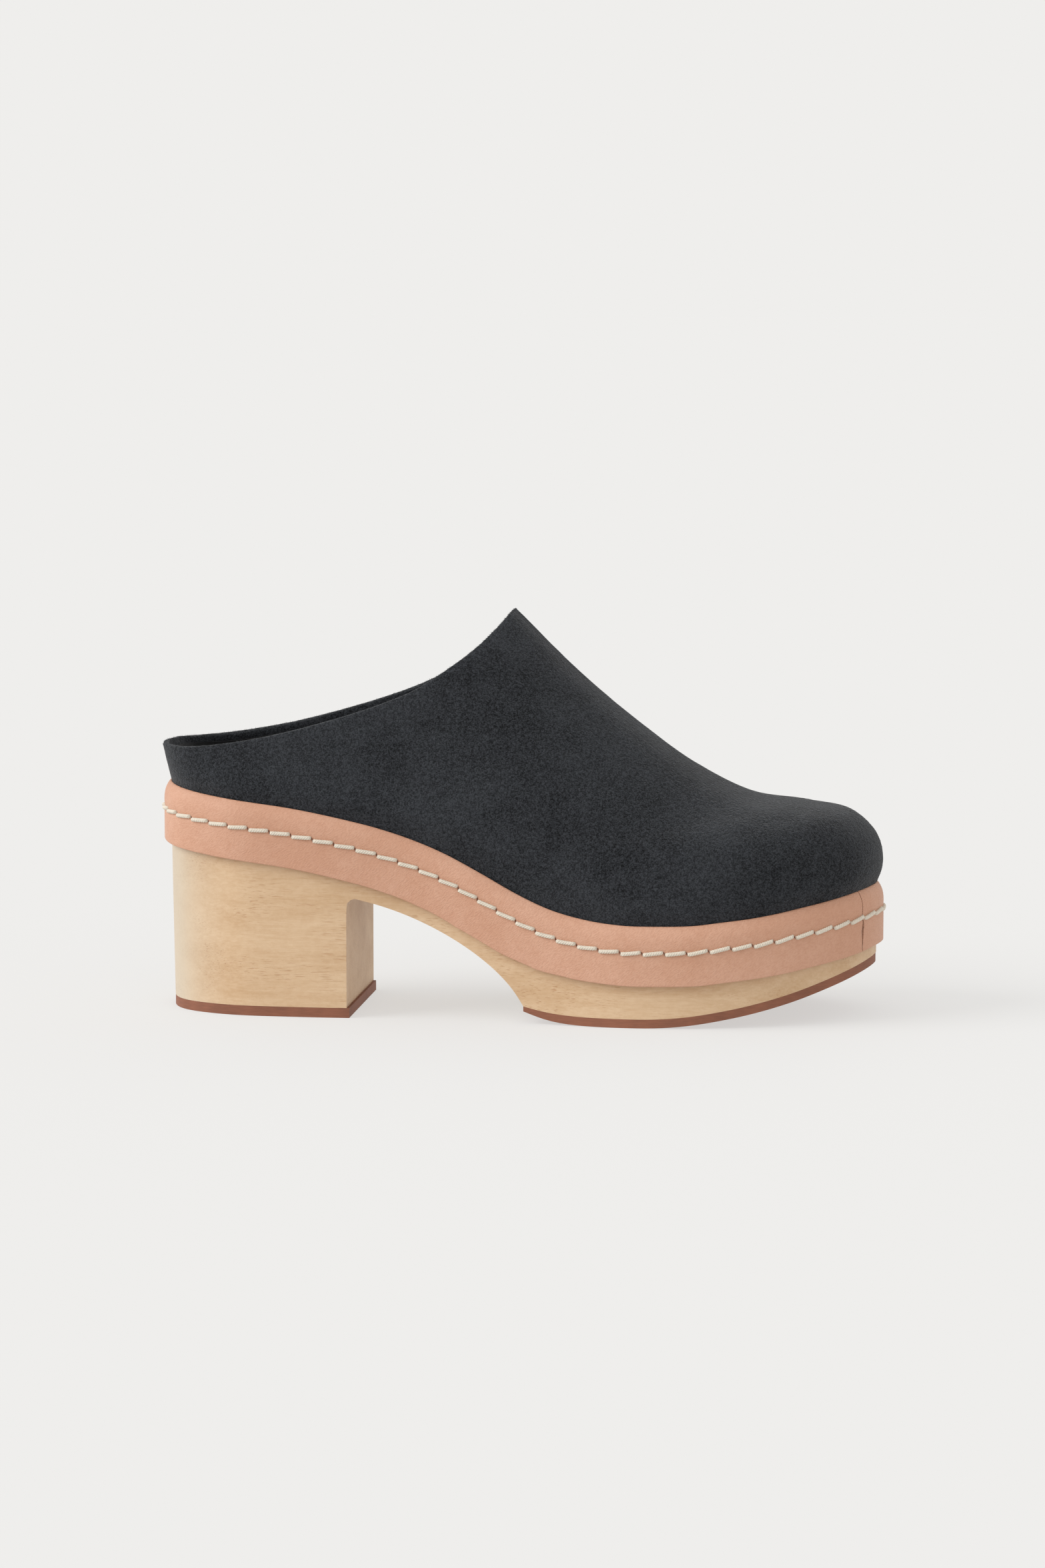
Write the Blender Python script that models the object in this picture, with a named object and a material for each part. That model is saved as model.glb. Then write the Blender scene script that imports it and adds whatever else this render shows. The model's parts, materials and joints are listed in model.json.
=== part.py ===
"""Wooden clog for the right foot: a carved wooden sole with a block heel, wrapped in a stitched
leather band, with a closed suede upper, its stiffeners and linings, and a padded footbed.

Run with: blender --background --python part.py
Metres, +Z up, +X to the toe, +Y to the inner (medial) side of the foot, z = 0 on the floor.
"""

import math

import bmesh
import bpy
import numpy as np
from mathutils import Vector
from mathutils.geometry import interpolate_bezier

# ---------------------------------------------------------------- driving dimensions
LENGTH = 0.248  # over the leather band, heel to toe
BALL_WIDTH = 0.0895  # over the band at the ball of the foot
HEEL_WIDTH = 0.0660  # over the band at the heel

FOREPART_HEIGHT = 0.0330  # top of the wood above the floor, under the ball
HEEL_HEIGHT = 0.0763  # top of the wood above the floor, at the back of the heel
TOE_RISE = 0.0105  # how far the top of the wood climbs from the ball to the toe
TOE_SPRING = 0.0185  # how far the tread lifts off the floor at the toe

HEEL_LENGTH = 0.0678  # back of the band to the heel breast
HEEL_RAKE = 0.0009  # how far the back of the heel leans in from top to floor
BREAST_RADIUS = 0.0030  # hollow corner between heel breast and arch
ARCH_HEIGHT = 0.0408  # underside of the arch at the heel breast
ARCH_LENGTH = 0.0609  # heel breast to the back edge of the forepart tread
TREAD_LIFT = 0.0042  # back edge of the forepart tread above the floor
TREAD_LIFT_LENGTH = 0.0168  # how far the lift at the back of the tread reaches
ARCH_BACK_HANDLE = (0.386, -0.115)  # pull of the arch's curve at the breast, as shares of its length, height
ARCH_FRONT_HANDLE = (-0.115, 0.365)  # its pull at the tread
HEEL_FLARE = 0.74  # top of the wood over the breast, as a share of the heel's length
ARCH_FLARE = 0.9  # how the walls spread forwards from the breast to the tread

BAND_HEIGHT = 0.0200
BAND_THICKNESS = 0.0021
BAND_LIP = 0.0015  # how far the band stands above the top of the wood
BAND_ROUND = 0.0011  # rounding of the band's top edge
BAND_CHAMFER = 0.0004  # broken edge at the bottom of the band
SEAM_DROP = 0.0088  # stitched seam below the top edge of the band
BUTT_GAP = 0.0006  # open joint between the two ends of the band
BUTT_STATION = 0.0200  # butt joint behind the toe tip, measured along the band
THREAD_DIAMETER = 0.0013
GROOVE_DEPTH = 0.0008
GROOVE_WIDTH = 0.0020

OUTSOLE_THICKNESS = 0.0027
OUTSOLE_SKIVE = 0.0014  # thickness left at the skived back edge
OUTSOLE_SKIVE_LENGTH = 0.0105
TOP_PIECE_THICKNESS = 0.0031
TOP_PIECE_OVERHANG = 0.0009  # how far the top piece runs past the heel breast

SUEDE = 0.0012
FOLD = 0.0009  # the suede is skived where it turns in at the topline
FOLD_LENGTH = 0.0065
FOLD_CROWN = 0.0004  # how far the turned edge rounds up above the topline
CROWN_SHARES = (0.18, 0.82)  # where across the turned edge it is that high
STIFFENER = 0.0009
LINING = 0.0009
LINING_DROP = 0.0022  # top edge of the lining below the topline
MARGIN = 0.0120  # width of the lasting margin turned under the insole board
BOARD = 0.0018
FOAM = 0.0025
SOCK = 0.0010

COLLAR_HEIGHT = 0.0140  # topline above the top of the wood, at the back of the heel
THROAT_HEIGHT = 0.1374  # peak of the topline above the floor
THROAT_STATION = 0.1223  # peak of the topline ahead of the back of the band
COLLAR_HALF_WIDTH = 0.0265
SIDE_BULGE = 0.0022  # how far the sides of the upper swell out above the band
BULGE_HEIGHT = 0.0120
BULGE_SPREAD = 0.7  # below 1 it keeps the swell full further round to the heel and the toe
NARROWING = 1.8  # above 1 it keeps the sides upright near the band and draws them in higher up
RIM_LEAD = 0.5  # how far the topline's places run ahead of the feather line's
TOE_BOX_HEIGHT = 0.0297  # top of the toe box above the feather line at the toe

CLEARANCE = 0.0003
FEATHER_SETBACK = 0.0006  # suede inside the wood's edge where it goes down behind the band

HEEL_NAIL = {"shank": 0.0020, "head": 0.0044, "head_height": 0.0012, "length": 0.0160}
TACK = {"shank": 0.0014, "head": 0.0034, "head_height": 0.0008, "length": 0.0085}
SEAT_NAIL = {"shank": 0.0022, "head": 0.0060, "head_height": 0.0009, "length": 0.0190}
NAIL_SIDES = 10
NAIL_TIP = 0.0020  # length of a nail's pointed end
BORE_MOUTH = 0.0036  # how far a nail's bore runs out past the face
HEAD_RECESS = 0.0004  # a nail's head sits this far below the face that it holds

STATIONS = 32  # stations from heel to toe that every ring of the shoe shares
UPPER_LEVELS = 10  # levels of the upper from the feather line to the topline
END_CROWDING = 0.4  # how much closer the stations lie at the heel and the toe
LEVEL_CROWDING = 0.9  # how much closer the levels lie near the foot of a long column
FINE_LEVELS = 161  # levels of the smooth surface that the shared levels are read from
FINE_CROWDING = 1.7
WOOD_LEVELS = 4
LEAST_SPACING = 0.0035  # a station nearer than this to a corner of the wood is left out
LEAST_STEP = 0.0003  # no two levels of a chain lie closer than this

# ---------------------------------------------------------------- outlines, as shares
# Plan outline of the band's outer face, heel back, outer side, toe, inner side. Stations are
# shares of LENGTH, and sides are shares of HEEL_WIDTH up to the arch, then of BALL_WIDTH.
OUTER_SIDE_HEEL = [(0.0, 0.0), (0.025, -0.288), (0.095, -0.452), (0.205, -0.500), (0.36, -0.500)]
OUTER_SIDE_BALL = [(0.53, -0.426), (0.67, -0.480), (0.79, -0.456), (0.90, -0.345), (0.968, -0.190)]
TOE_TIP = (1.0, 0.045)
INNER_SIDE_BALL = [(0.974, 0.265), (0.905, 0.415), (0.80, 0.500), (0.68, 0.520), (0.53, 0.446)]
INNER_SIDE_HEEL = [(0.36, 0.494), (0.205, 0.497), (0.095, 0.452), (0.025, 0.288)]

# Top of the wood: station, share of the heel's rise over the forepart, share of TOE_RISE.
FOOTBED = [
    (0.0, 1.0, 0.0),
    (0.056, 0.95, 0.0),
    (0.20, 0.846, 0.0),
    (0.31, 0.714, 0.0),
    (0.393, 0.552, 0.0),
    (0.476, 0.318, 0.0),
    (0.532, 0.157, 0.0),
    (0.59, 0.050, 0.0),
    (0.65, 0.004, 0.0),
    (0.71, 0.0, 0.0),
    (0.80, 0.0, 0.16),
    (0.90, 0.0, 0.53),
    (1.0, 0.0, 1.0),
]

# Underside of the forepart tread: station, share of TOE_SPRING.
TREAD = [(0.60, 0.0), (0.70, 0.0), (0.78, 0.13), (0.86, 0.36), (0.935, 0.68), (1.0, 1.0)]

# Topline, from the back of the collar to the peak of the throat: station as a share of
# THROAT_STATION, side as a share of COLLAR_HALF_WIDTH, climb as a share of the collar's rise.
TOPLINE = [
    (-0.004, 0.0, 0.0),
    (0.020, 0.50, 0.0),
    (0.085, 0.82, 0.004),
    (0.19, 0.955, 0.034),
    (0.33, 1.0, 0.098),
    (0.48, 1.0, 0.197),
    (0.62, 0.99, 0.313),
    (0.735, 0.95, 0.434),
    (0.83, 0.86, 0.590),
    (0.905, 0.69, 0.738),
    (0.96, 0.45, 0.880),
    (0.99, 0.22, 0.970),
    (1.0, 0.0, 1.0),
]

# Ridge of the vamp, from the toe up to the throat: station as a share of the way back from the
# toe's feather line to the throat, height as a share of the way up.
RIDGE_TOE = [(0.0, 0.0), (-0.020, 0.23), (-0.014, 0.52), (0.018, 0.755), (0.070, 0.885)]
RIDGE_TOP = [(0.125, 0.945), (0.215, 1.0)]
RIDGE_VAMP = [(0.34, 0.037), (0.45, 0.132), (0.56, 0.262), (0.73, 0.518), (0.90, 0.802), (1.0, 1.0)]

# Where the linings and the stiffeners start and end, as shares of the length.
LINING_SEAM = 0.30
PUFF_START = 0.80
COUNTER_END = 0.22
# How far up the upper the stiffeners reach, in the upper's levels.
PUFF_LEVEL = 4
COUNTER_LEVEL = 5

HEEL_NAIL_PLACES = [(0.070, 0.0), (0.145, -0.28), (0.145, 0.28), (0.235, -0.30), (0.235, 0.30)]
TACK_PLACES = [(0.565, -0.28), (0.565, 0.31), (0.74, -0.36), (0.74, 0.40), (0.925, 0.06)]
SEAT_NAIL_PLACES = [(0.105, 0.0), (0.185, -0.17), (0.185, 0.17)]

COLOURS = {
    "wood": ((0.62, 0.42, 0.26), 0.50, 0.0),
    "outsole": ((0.22, 0.09, 0.05), 0.80, 0.0),
    "band": ((0.62, 0.39, 0.26), 0.45, 0.0),
    "thread": ((0.75, 0.67, 0.53), 0.60, 0.0),
    "suede": ((0.021, 0.023, 0.026), 0.92, 0.0),
    "lining": ((0.008, 0.008, 0.009), 0.50, 0.0),
    "stiffener": ((0.45, 0.40, 0.32), 0.80, 0.0),
    "board": ((0.35, 0.26, 0.17), 0.85, 0.0),
    "filler": ((0.30, 0.18, 0.09), 0.95, 0.0),
    "foam": ((0.55, 0.55, 0.52), 0.95, 0.0),
    "steel": ((0.55, 0.55, 0.56), 0.35, 1.0),
}


# ---------------------------------------------------------------- curves
def spline(points, closed=False, per_span=24):
    """Closely spaced points on a smooth curve that passes through each given point."""
    p = np.array(points, float)
    if closed:
        p = np.vstack([p[-1:], p, p[:2]])
    else:
        p = np.vstack([2 * p[:1] - p[1:2], p, 2 * p[-1:] - p[-2:-1]])
    gaps = np.linalg.norm(np.diff(p, axis=0), axis=1)
    before, after = gaps[:-1, None], gaps[1:, None]
    slopes = np.diff(p, axis=0) / gaps[:, None]
    tangents = (slopes[:-1] * after + slopes[1:] * before) / (before + after)
    u = np.linspace(0, 1, per_span, endpoint=False)[:, None]
    spans = []
    for i in range(1, len(p) - 2):
        start, end, gap = p[i], p[i + 1], gaps[i]
        spans.append(
            (1 + 2 * u) * (1 - u) ** 2 * start
            + u * (1 - u) ** 2 * gap * tangents[i - 1]
            + u**2 * (3 - 2 * u) * end
            + u**2 * (u - 1) * gap * tangents[i]
        )
    return np.vstack(spans) if closed else np.vstack(spans + [p[-2:-1]])


def arc_shares(points):
    """How far along the curve each point lies, from 0 to 1."""
    run = np.concatenate([[0], np.cumsum(np.linalg.norm(np.diff(points, axis=0), axis=1))])
    return run / run[-1]


def along(points, shares):
    """Points of a curve at these shares of its length."""
    place = arc_shares(points)
    return np.stack([np.interp(shares, place, points[:, i]) for i in range(points.shape[1])], axis=-1)


def outline_points():
    """The band's outer outline as a dense closed curve, from the back of the heel."""
    heel = [(x * LENGTH, y * HEEL_WIDTH) for x, y in OUTER_SIDE_HEEL]
    ball = [(x * LENGTH, y * BALL_WIDTH) for x, y in OUTER_SIDE_BALL + [TOE_TIP] + INNER_SIDE_BALL]
    back = [(x * LENGTH, y * HEEL_WIDTH) for x, y in INNER_SIDE_HEEL]
    curve = spline(heel + ball + back, closed=True)
    curve[:, 0] -= curve[:, 0].min()
    curve[:, 0] *= LENGTH / curve[:, 0].max()
    return np.roll(curve, -int(np.argmin(curve[:, 0])), axis=0)


OUTLINE = outline_points()


def inward_ways():
    """The way in from each point of the outline, square to it."""
    ahead = np.roll(OUTLINE, -1, axis=0) - np.roll(OUTLINE, 1, axis=0)
    ahead /= np.linalg.norm(ahead, axis=1)[:, None]
    return np.stack([-ahead[:, 1], ahead[:, 0]], axis=1)


INWARD = inward_ways()


def inset_curves(inset):
    """The outer and inner sides of the outline moved inwards, each from heel back to toe tip."""
    moved = OUTLINE + inset * INWARD
    reach = np.linalg.norm(moved[:, None] - OUTLINE[None], axis=2).min(axis=1)
    moved = moved[reach > inset - 1e-5]
    moved = np.roll(moved, -int(np.argmin(moved[:, 0])), axis=0)
    tip = int(np.argmax(moved[:, 0]))
    return moved[: tip + 1], np.vstack([moved[tip:], moved[:1]])[::-1]


def smooth_height(table, column):
    curve = spline([(row[0], row[column]) for row in table])
    return lambda x: np.interp(x / LENGTH, curve[:, 0], curve[:, 1])


HEEL_SHARE = smooth_height(FOOTBED, 1)
TOE_SHARE = smooth_height(FOOTBED, 2)
TREAD_SHARE = smooth_height(TREAD, 1)


def station_shares():
    """Stations as shares of the length, evenly round the mean outline but closer at its ends."""
    outer, inner = inset_curves(0)
    x = np.linspace(0, math.pi, 600)
    x = LENGTH * (1 - np.cos(x)) / 2
    half = (np.interp(x, inner[:, 0], inner[:, 1]) - np.interp(x, outer[:, 0], outer[:, 1])) / 2
    mean = np.stack([x, half - half[-1] * x / LENGTH], axis=1)
    turn = np.linspace(0, 1, STATIONS + 1)
    shares = turn - END_CROWDING * np.sin(2 * math.pi * turn) / (2 * math.pi)
    return along(mean, shares)[:, 0] / LENGTH


STATION_SHARES = station_shares()
STATION_X = LENGTH * STATION_SHARES
STATION_Z = FOREPART_HEIGHT + TOE_RISE * TOE_SHARE(STATION_X)
STATION_Z += (HEEL_HEIGHT - FOREPART_HEIGHT) * HEEL_SHARE(STATION_X)


def wood_top(x):
    """Height of the top of the wood, in straight runs between the shared stations."""
    return np.interp(x, STATION_X, STATION_Z)


def tread_bottom(x):
    """Underside of the forepart outsole: it lifts at its back edge and towards the toe."""
    back = np.clip(1 - (x - HEEL_LENGTH - ARCH_LENGTH) / TREAD_LIFT_LENGTH, 0, None)
    return TOE_SPRING * np.clip(TREAD_SHARE(x), 0, None) + TREAD_LIFT * back**2


def tread_thickness(x):
    share = np.clip((x - HEEL_LENGTH - ARCH_LENGTH) / OUTSOLE_SKIVE_LENGTH, 0, 1)
    return OUTSOLE_SKIVE + (OUTSOLE_THICKNESS - OUTSOLE_SKIVE) * share


def band_top(x):
    return wood_top(x) + BAND_LIP


def band_bottom(x):
    step = 0.02 * LENGTH
    slope = (wood_top(x + step) - wood_top(x - step)) / (2 * step)
    return band_top(x) - BAND_HEIGHT * np.sqrt(1 + slope**2)


def stations_between(start, end, curve):
    """Points of a side curve at the shared stations between two x places."""
    low, high = curve[0, 0], curve[-1, 0]
    x = low + (high - low) * STATION_SHARES
    x = x[(x > start + 1e-4) & (x < end - 1e-4)]
    x = np.concatenate([[max(start, low)], x, [min(end, high)]])
    return np.stack([x, np.interp(x, curve[:, 0], curve[:, 1])], axis=1)


# ---------------------------------------------------------------- building
def collect(name, bm, material, smooth_angle=40):
    """One finished object from a bmesh whose faces close round one solid."""
    bmesh.ops.remove_doubles(bm, verts=bm.verts, dist=1e-6)
    bmesh.ops.recalc_face_normals(bm, faces=bm.faces)
    mesh = bpy.data.meshes.new(name)
    bm.to_mesh(mesh)
    bm.free()
    mesh.shade_smooth()
    mesh.set_sharp_from_angle(angle=math.radians(smooth_angle))
    obj = bpy.data.objects.new(name, mesh)
    bpy.context.scene.collection.objects.link(obj)
    mesh.materials.append(material_named(material))
    obj.parent = bpy.data.objects["clog"]
    return obj


def material_named(name):
    if name in bpy.data.materials:
        return bpy.data.materials[name]
    colour, roughness, metallic = COLOURS[name]
    material = bpy.data.materials.new(name)
    material.use_nodes = True
    shader = material.node_tree.nodes["Principled BSDF"]
    shader.inputs["Base Color"].default_value = (*colour, 1)
    shader.inputs["Roughness"].default_value = roughness
    shader.inputs["Metallic"].default_value = metallic
    return material


def loft(rings, closed=False):
    """Extrudes an edge ring from place to place. Each ring is one side's points from end to end
    and then the other side's points back. Open ends are filled from side to side."""
    bm = bmesh.new()
    count = len(rings[0])
    verts = [bm.verts.new(p) for p in rings[0]]
    first = verts
    edges = [bm.edges.new((verts[i], verts[(i + 1) % count])) for i in range(count)]
    for ring in rings[1:] + (rings[:1] if closed else []):
        made = bmesh.ops.extrude_edge_only(bm, edges=edges)["geom"]
        fresh = {item for item in made if isinstance(item, bmesh.types.BMVert)}
        verts = [next(e.other_vert(v) for e in v.link_edges if e.other_vert(v) in fresh) for v in verts]
        for vert, place in zip(verts, ring):
            vert.co = place
        edges = [bm.edges.get((verts[i], verts[(i + 1) % count])) for i in range(count)]
    if not closed:
        for end in (first, verts):
            for i in range(count // 2 - 1):
                corners = [end[i], end[i + 1], end[count - 2 - i], end[count - 1 - i]]
                bmesh.ops.contextual_create(bm, geom=corners)
    return bm


def ring_of(outer, inner, height):
    """A closed ring: the outer side heel to toe, then the inner side toe to heel."""
    both = np.vstack([outer, inner[::-1]])
    return [Vector((x, y, z)) for (x, y), z in zip(both, height(both[:, 0]))]


def slab(inset, start, end, bottom, top):
    """A flat layer inside the outline, from one x place to another."""
    sides = [stations_between(start, end, curve) for curve in inset_curves(inset)]
    return loft([ring_of(*sides, bottom), ring_of(*sides, top)])


def turned(profile, places):
    """A solid turned about an upright axis, from (radius, height) points, for nails and bores."""
    bm = bmesh.new()
    verts = [bm.verts.new((radius, 0, height)) for radius, height in profile]
    edges = [bm.edges.new(pair) for pair in zip(verts, verts[1:])]
    bmesh.ops.spin(
        bm,
        geom=verts + edges,
        cent=(0, 0, 0),
        axis=(0, 0, 1),
        angle=2 * math.pi,
        steps=NAIL_SIDES,
        use_merge=True,
    )
    bmesh.ops.translate(bm, verts=bm.verts, vec=places)
    return bm


def nail_profile(size, spare):
    """Head up: the flat head, the shank and the pointed end, all larger by a spare gap."""
    head, shank = size["head"] / 2 + spare, size["shank"] / 2 + spare
    under = -size["head_height"] - spare
    tip = -size["length"] - spare
    top = 0.0 if spare == 0 else BORE_MOUTH
    return [(0, top), (head, top), (head, under), (shank, under), (shank, tip + NAIL_TIP), (0, tip)]


def nail(name, size, place, upside_down, holders):
    """One nail, and its clearance bore through each piece that it holds."""
    turn = -1 if upside_down else 1
    for spare in (0.0, CLEARANCE):
        profile = [(radius, turn * height) for radius, height in nail_profile(size, spare)]
        bm = turned(profile, place)
        if spare == 0:
            collect(name, bm, "steel")
            continue
        cutter = collect(name + "_bore", bm, "steel")
        cutter.hide_render = True
        cutter.display_type = "WIRE"
        for holder in holders:
            bore = holder.modifiers.new(name, "BOOLEAN")
            bore.operation = "DIFFERENCE"
            bore.solver = "EXACT"
            bore.object = cutter


# ---------------------------------------------------------------- the wooden sole and its treads
def wood_path():
    """The underside of the wood in side view, heel back to toe: x, z and the x it has on top."""
    inset = BAND_THICKNESS + CLEARANCE
    low, high = inset, LENGTH - inset
    x = low + (high - low) * STATION_SHARES
    heel_bottom = TOP_PIECE_THICKNESS + CLEARANCE
    breast_top = ARCH_HEIGHT - BREAST_RADIUS
    tread_back = HEEL_LENGTH + ARCH_LENGTH

    heel_x = np.append(x[x < HEEL_LENGTH - LEAST_SPACING], HEEL_LENGTH)
    heel = [(v, heel_bottom, low + (v - low) * HEEL_FLARE) for v in heel_x]
    breast = [(HEEL_LENGTH, heel_bottom + (breast_top - heel_bottom) * s) for s in (0.35, 0.7, 1.0)]
    corner = [
        (HEEL_LENGTH + BREAST_RADIUS * (1 - math.cos(a)), breast_top + BREAST_RADIUS * math.sin(a))
        for a in np.radians([30, 60, 90])
    ]
    end_z = float(tread_bottom(tread_back) + tread_thickness(tread_back)) + CLEARANCE
    start = Vector((*corner[-1], 0))
    end = Vector((tread_back, end_z, 0))
    reach = (ARCH_LENGTH, ARCH_HEIGHT)
    handle_back = start + Vector([r * share for r, share in zip(reach, ARCH_BACK_HANDLE)]).to_3d()
    handle_front = end + Vector([r * share for r, share in zip(reach, ARCH_FRONT_HANDLE)]).to_3d()
    arch = [(v.x, v.y) for v in interpolate_bezier(start, handle_back, handle_front, end, 11)[1:]]
    middle = breast + corner + arch
    last_heel = heel[-1][2]
    over_breast = np.linspace(last_heel, HEEL_LENGTH, len(breast) + 1)[1:]
    shares = arc_shares(np.array(middle[len(breast) - 1 :]))[1:]
    over_arch = HEEL_LENGTH + (tread_back - HEEL_LENGTH) * shares**ARCH_FLARE
    tops = np.append(over_breast, over_arch)
    fore_x = np.append(x[(x > tread_back + LEAST_SPACING) & (x < high - 1e-6)], high)
    fore = [(v, float(tread_bottom(v) + tread_thickness(v)) + CLEARANCE, v) for v in fore_x]
    path = heel + [(px, pz, top) for (px, pz), top in zip(middle, tops)] + fore
    return np.array(path)


def lean_in(x, z):
    """Moves the back of the heel forwards towards the floor."""
    fall = np.clip(1 - z / (HEEL_HEIGHT - BAND_HEIGHT), 0, 1)
    return x + HEEL_RAKE * fall * np.clip(1 - x / HEEL_LENGTH, 0, 1) ** 2


def make_wood():
    path = wood_path()
    sides = inset_curves(BAND_THICKNESS + CLEARANCE)
    rings = []
    for level in np.linspace(0, 1, WOOD_LEVELS + 1):
        x = path[:, 0] + (path[:, 2] - path[:, 0]) * level
        z = path[:, 1] + (wood_top(path[:, 2]) - path[:, 1]) * level
        outer, inner = [
            np.stack([lean_in(x, z), np.interp(x, side[:, 0], side[:, 1]), z], axis=1) for side in sides
        ]
        rings.append([Vector(p) for p in np.vstack([outer, inner[::-1]])])
    return collect("wood_sole", loft(rings), "wood", 30)


def make_top_piece():
    """The wearing piece under the heel."""
    sides = [
        stations_between(0, HEEL_LENGTH + TOP_PIECE_OVERHANG, curve)
        for curve in inset_curves(BAND_THICKNESS + CLEARANCE)
    ]
    rings = []
    for height in (0.0, TOP_PIECE_THICKNESS):
        ring = ring_of(*sides, lambda x, z=height: np.full_like(x, z))
        rings.append([Vector((lean_in(v.x, 0), v.y, v.z)) for v in ring])
    return collect("heel_top_piece", loft(rings), "outsole")


def make_outsole():
    bm = slab(
        BAND_THICKNESS + CLEARANCE,
        HEEL_LENGTH + ARCH_LENGTH,
        LENGTH,
        tread_bottom,
        lambda x: tread_bottom(x) + tread_thickness(x),
    )
    return collect("forepart_outsole", bm, "outsole")


# ---------------------------------------------------------------- the band and its seam
def band_columns():
    """Places round the band from one side of the butt joint to the other, with their inward way."""
    outer, inner = inset_curves(0)
    x = STATION_X
    lateral = np.stack([x, np.interp(x, outer[:, 0], outer[:, 1])], axis=1)
    medial = np.stack([x, np.interp(x, inner[:, 0], inner[:, 1])], axis=1)
    loop = np.vstack([lateral, medial[-2::-1]])
    total = np.linalg.norm(np.diff(loop, axis=0), axis=1).sum()
    run = arc_shares(loop) * total
    joint = run[STATIONS] - BUTT_STATION
    places = sorted((v - joint) % total for v in run[:-1])
    kept = [v for v in places if BUTT_GAP * 3 < v < total - BUTT_GAP * 3]
    turns = (np.array([BUTT_GAP / 2] + kept + [total - BUTT_GAP / 2]) + joint) % total
    points = np.stack([np.interp(turns, run, loop[:, i]) for i in (0, 1)], axis=1)
    nearest = [int(np.argmin(((OUTLINE - p) ** 2).sum(axis=1))) for p in points]
    return points, INWARD[nearest]


def band_section(x):
    """(depth, height) points round the leather strip at one place, with its stitching channel."""
    top, bottom = float(band_top(x)), float(band_bottom(x))
    seam = top - SEAM_DROP
    half = GROOVE_WIDTH / 2
    return [
        (0.0, bottom + BAND_CHAMFER),
        (0.0, seam - half),
        (GROOVE_DEPTH, seam - half / 2),
        (GROOVE_DEPTH, seam + half / 2),
        (0.0, seam + half),
        (0.0, top - BAND_ROUND),
        (0.3 * BAND_ROUND, top - 0.3 * BAND_ROUND),
        (BAND_ROUND, top),
        (BAND_THICKNESS, top),
        (BAND_THICKNESS, (top + bottom) / 2),
        (BAND_THICKNESS, bottom),
        (BAND_CHAMFER, bottom),
    ]


def make_band():
    points, inward = band_columns()
    rings = []
    for point, way in zip(points, inward):
        section = band_section(point[0])
        rings.append([Vector((*(point + way * depth), height)) for depth, height in section])
    return collect("sole_wrap", loft(rings), "band", 50)


def make_thread():
    """The waxed thread that lies in the band's channel all the way round."""
    radius = THREAD_DIAMETER / 2
    depth = GROOVE_DEPTH - CLEARANCE - radius
    points, inward = band_columns()
    route = points[1:-1] + inward[1:-1] * depth
    curve = bpy.data.curves.new("wrap_thread", "CURVE")
    curve.dimensions = "3D"
    curve.bevel_depth = radius
    curve.bevel_resolution = 1
    line = curve.splines.new("POLY")
    line.points.add(len(route) - 1)
    for point, (x, y), base in zip(line.points, route, points[1:-1]):
        point.co = (x, y, float(band_top(base[0])) - SEAM_DROP, 1)
    line.use_cyclic_u = True
    line.use_smooth = True
    curve.materials.append(material_named("thread"))
    thread = bpy.data.objects.new("wrap_thread", curve)
    thread.parent = bpy.data.objects["clog"]
    bpy.context.scene.collection.objects.link(thread)
    return thread


# ---------------------------------------------------------------- the upper's surface
def topline(side):
    """The topline on one side, from the back of the collar to the throat's peak."""
    back = HEEL_HEIGHT + COLLAR_HEIGHT
    rise = THROAT_HEIGHT - back
    return spline(
        [
            (x * THROAT_STATION, side * y * COLLAR_HALF_WIDTH, back + z * rise)
            for x, y, z in TOPLINE
        ]
    )


def ridge(toe):
    """The middle of the vamp, from the toe's feather line up to the throat's peak."""
    run = toe[0] - THROAT_STATION
    box_top = toe[2] + TOE_BOX_HEIGHT
    points = [(toe[0] - x * run, toe[2] + z * (box_top - toe[2])) for x, z in RIDGE_TOE + RIDGE_TOP]
    points += [(toe[0] - x * run, box_top + z * (THROAT_HEIGHT - box_top)) for x, z in RIDGE_VAMP]
    return spline(points)


def upper_grid(levels):
    """Places on the suede's outer face: for each station round the shoe, one for each level."""
    inset = BAND_THICKNESS + CLEARANCE + FEATHER_SETBACK
    sides = []
    for side, curve in zip((-1, 1), inset_curves(inset)):
        low, high = curve[0, 0], curve[-1, 0]
        x = low + (high - low) * STATION_SHARES
        y = np.interp(x, curve[:, 0], curve[:, 1])
        foot = np.stack([x, y, wood_top(x) + CLEARANCE], axis=1)
        far = arc_shares(foot)
        rim = along(topline(side), (1 + RIM_LEAD) * far - RIM_LEAD * far**2)
        middle = ridge(foot[-1])
        crest = along(middle, levels)
        blend = far**2 * (3 - 2 * far)
        columns = []
        for k in range(len(foot)):
            line = foot[k] + np.outer(levels, rim[k] - foot[k])
            chord = middle[0] + np.outer(levels, middle[-1] - middle[0])
            line[:, 0] += blend[k] * (crest - chord)[:, 0]
            line[:, 2] += blend[k] * (crest - chord)[:, 1]
            line[:, 1] = foot[k, 1] + (rim[k, 1] - foot[k, 1]) * levels**NARROWING
            up = np.clip(line[:, 2] - foot[k, 2], 0, None) / BULGE_HEIGHT
            facing = math.sin(math.pi * far[k]) ** BULGE_SPREAD
            swell = (up * np.exp(1 - up)) ** 2
            line[:, 1] += side * SIDE_BULGE * facing * swell * (1 - levels)
            columns.append(line)
        sides.append(columns)
    return np.array(sides[0] + sides[1][-2:0:-1])


def layer_normals(grid):
    """Outward directions of the surface at each place of the grid."""
    across = np.roll(grid, -1, axis=0) - np.roll(grid, 1, axis=0)
    upward = np.gradient(grid, axis=1)
    normals = np.cross(across, upward)
    normals /= np.linalg.norm(normals, axis=2)[:, :, None]
    return normals


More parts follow.
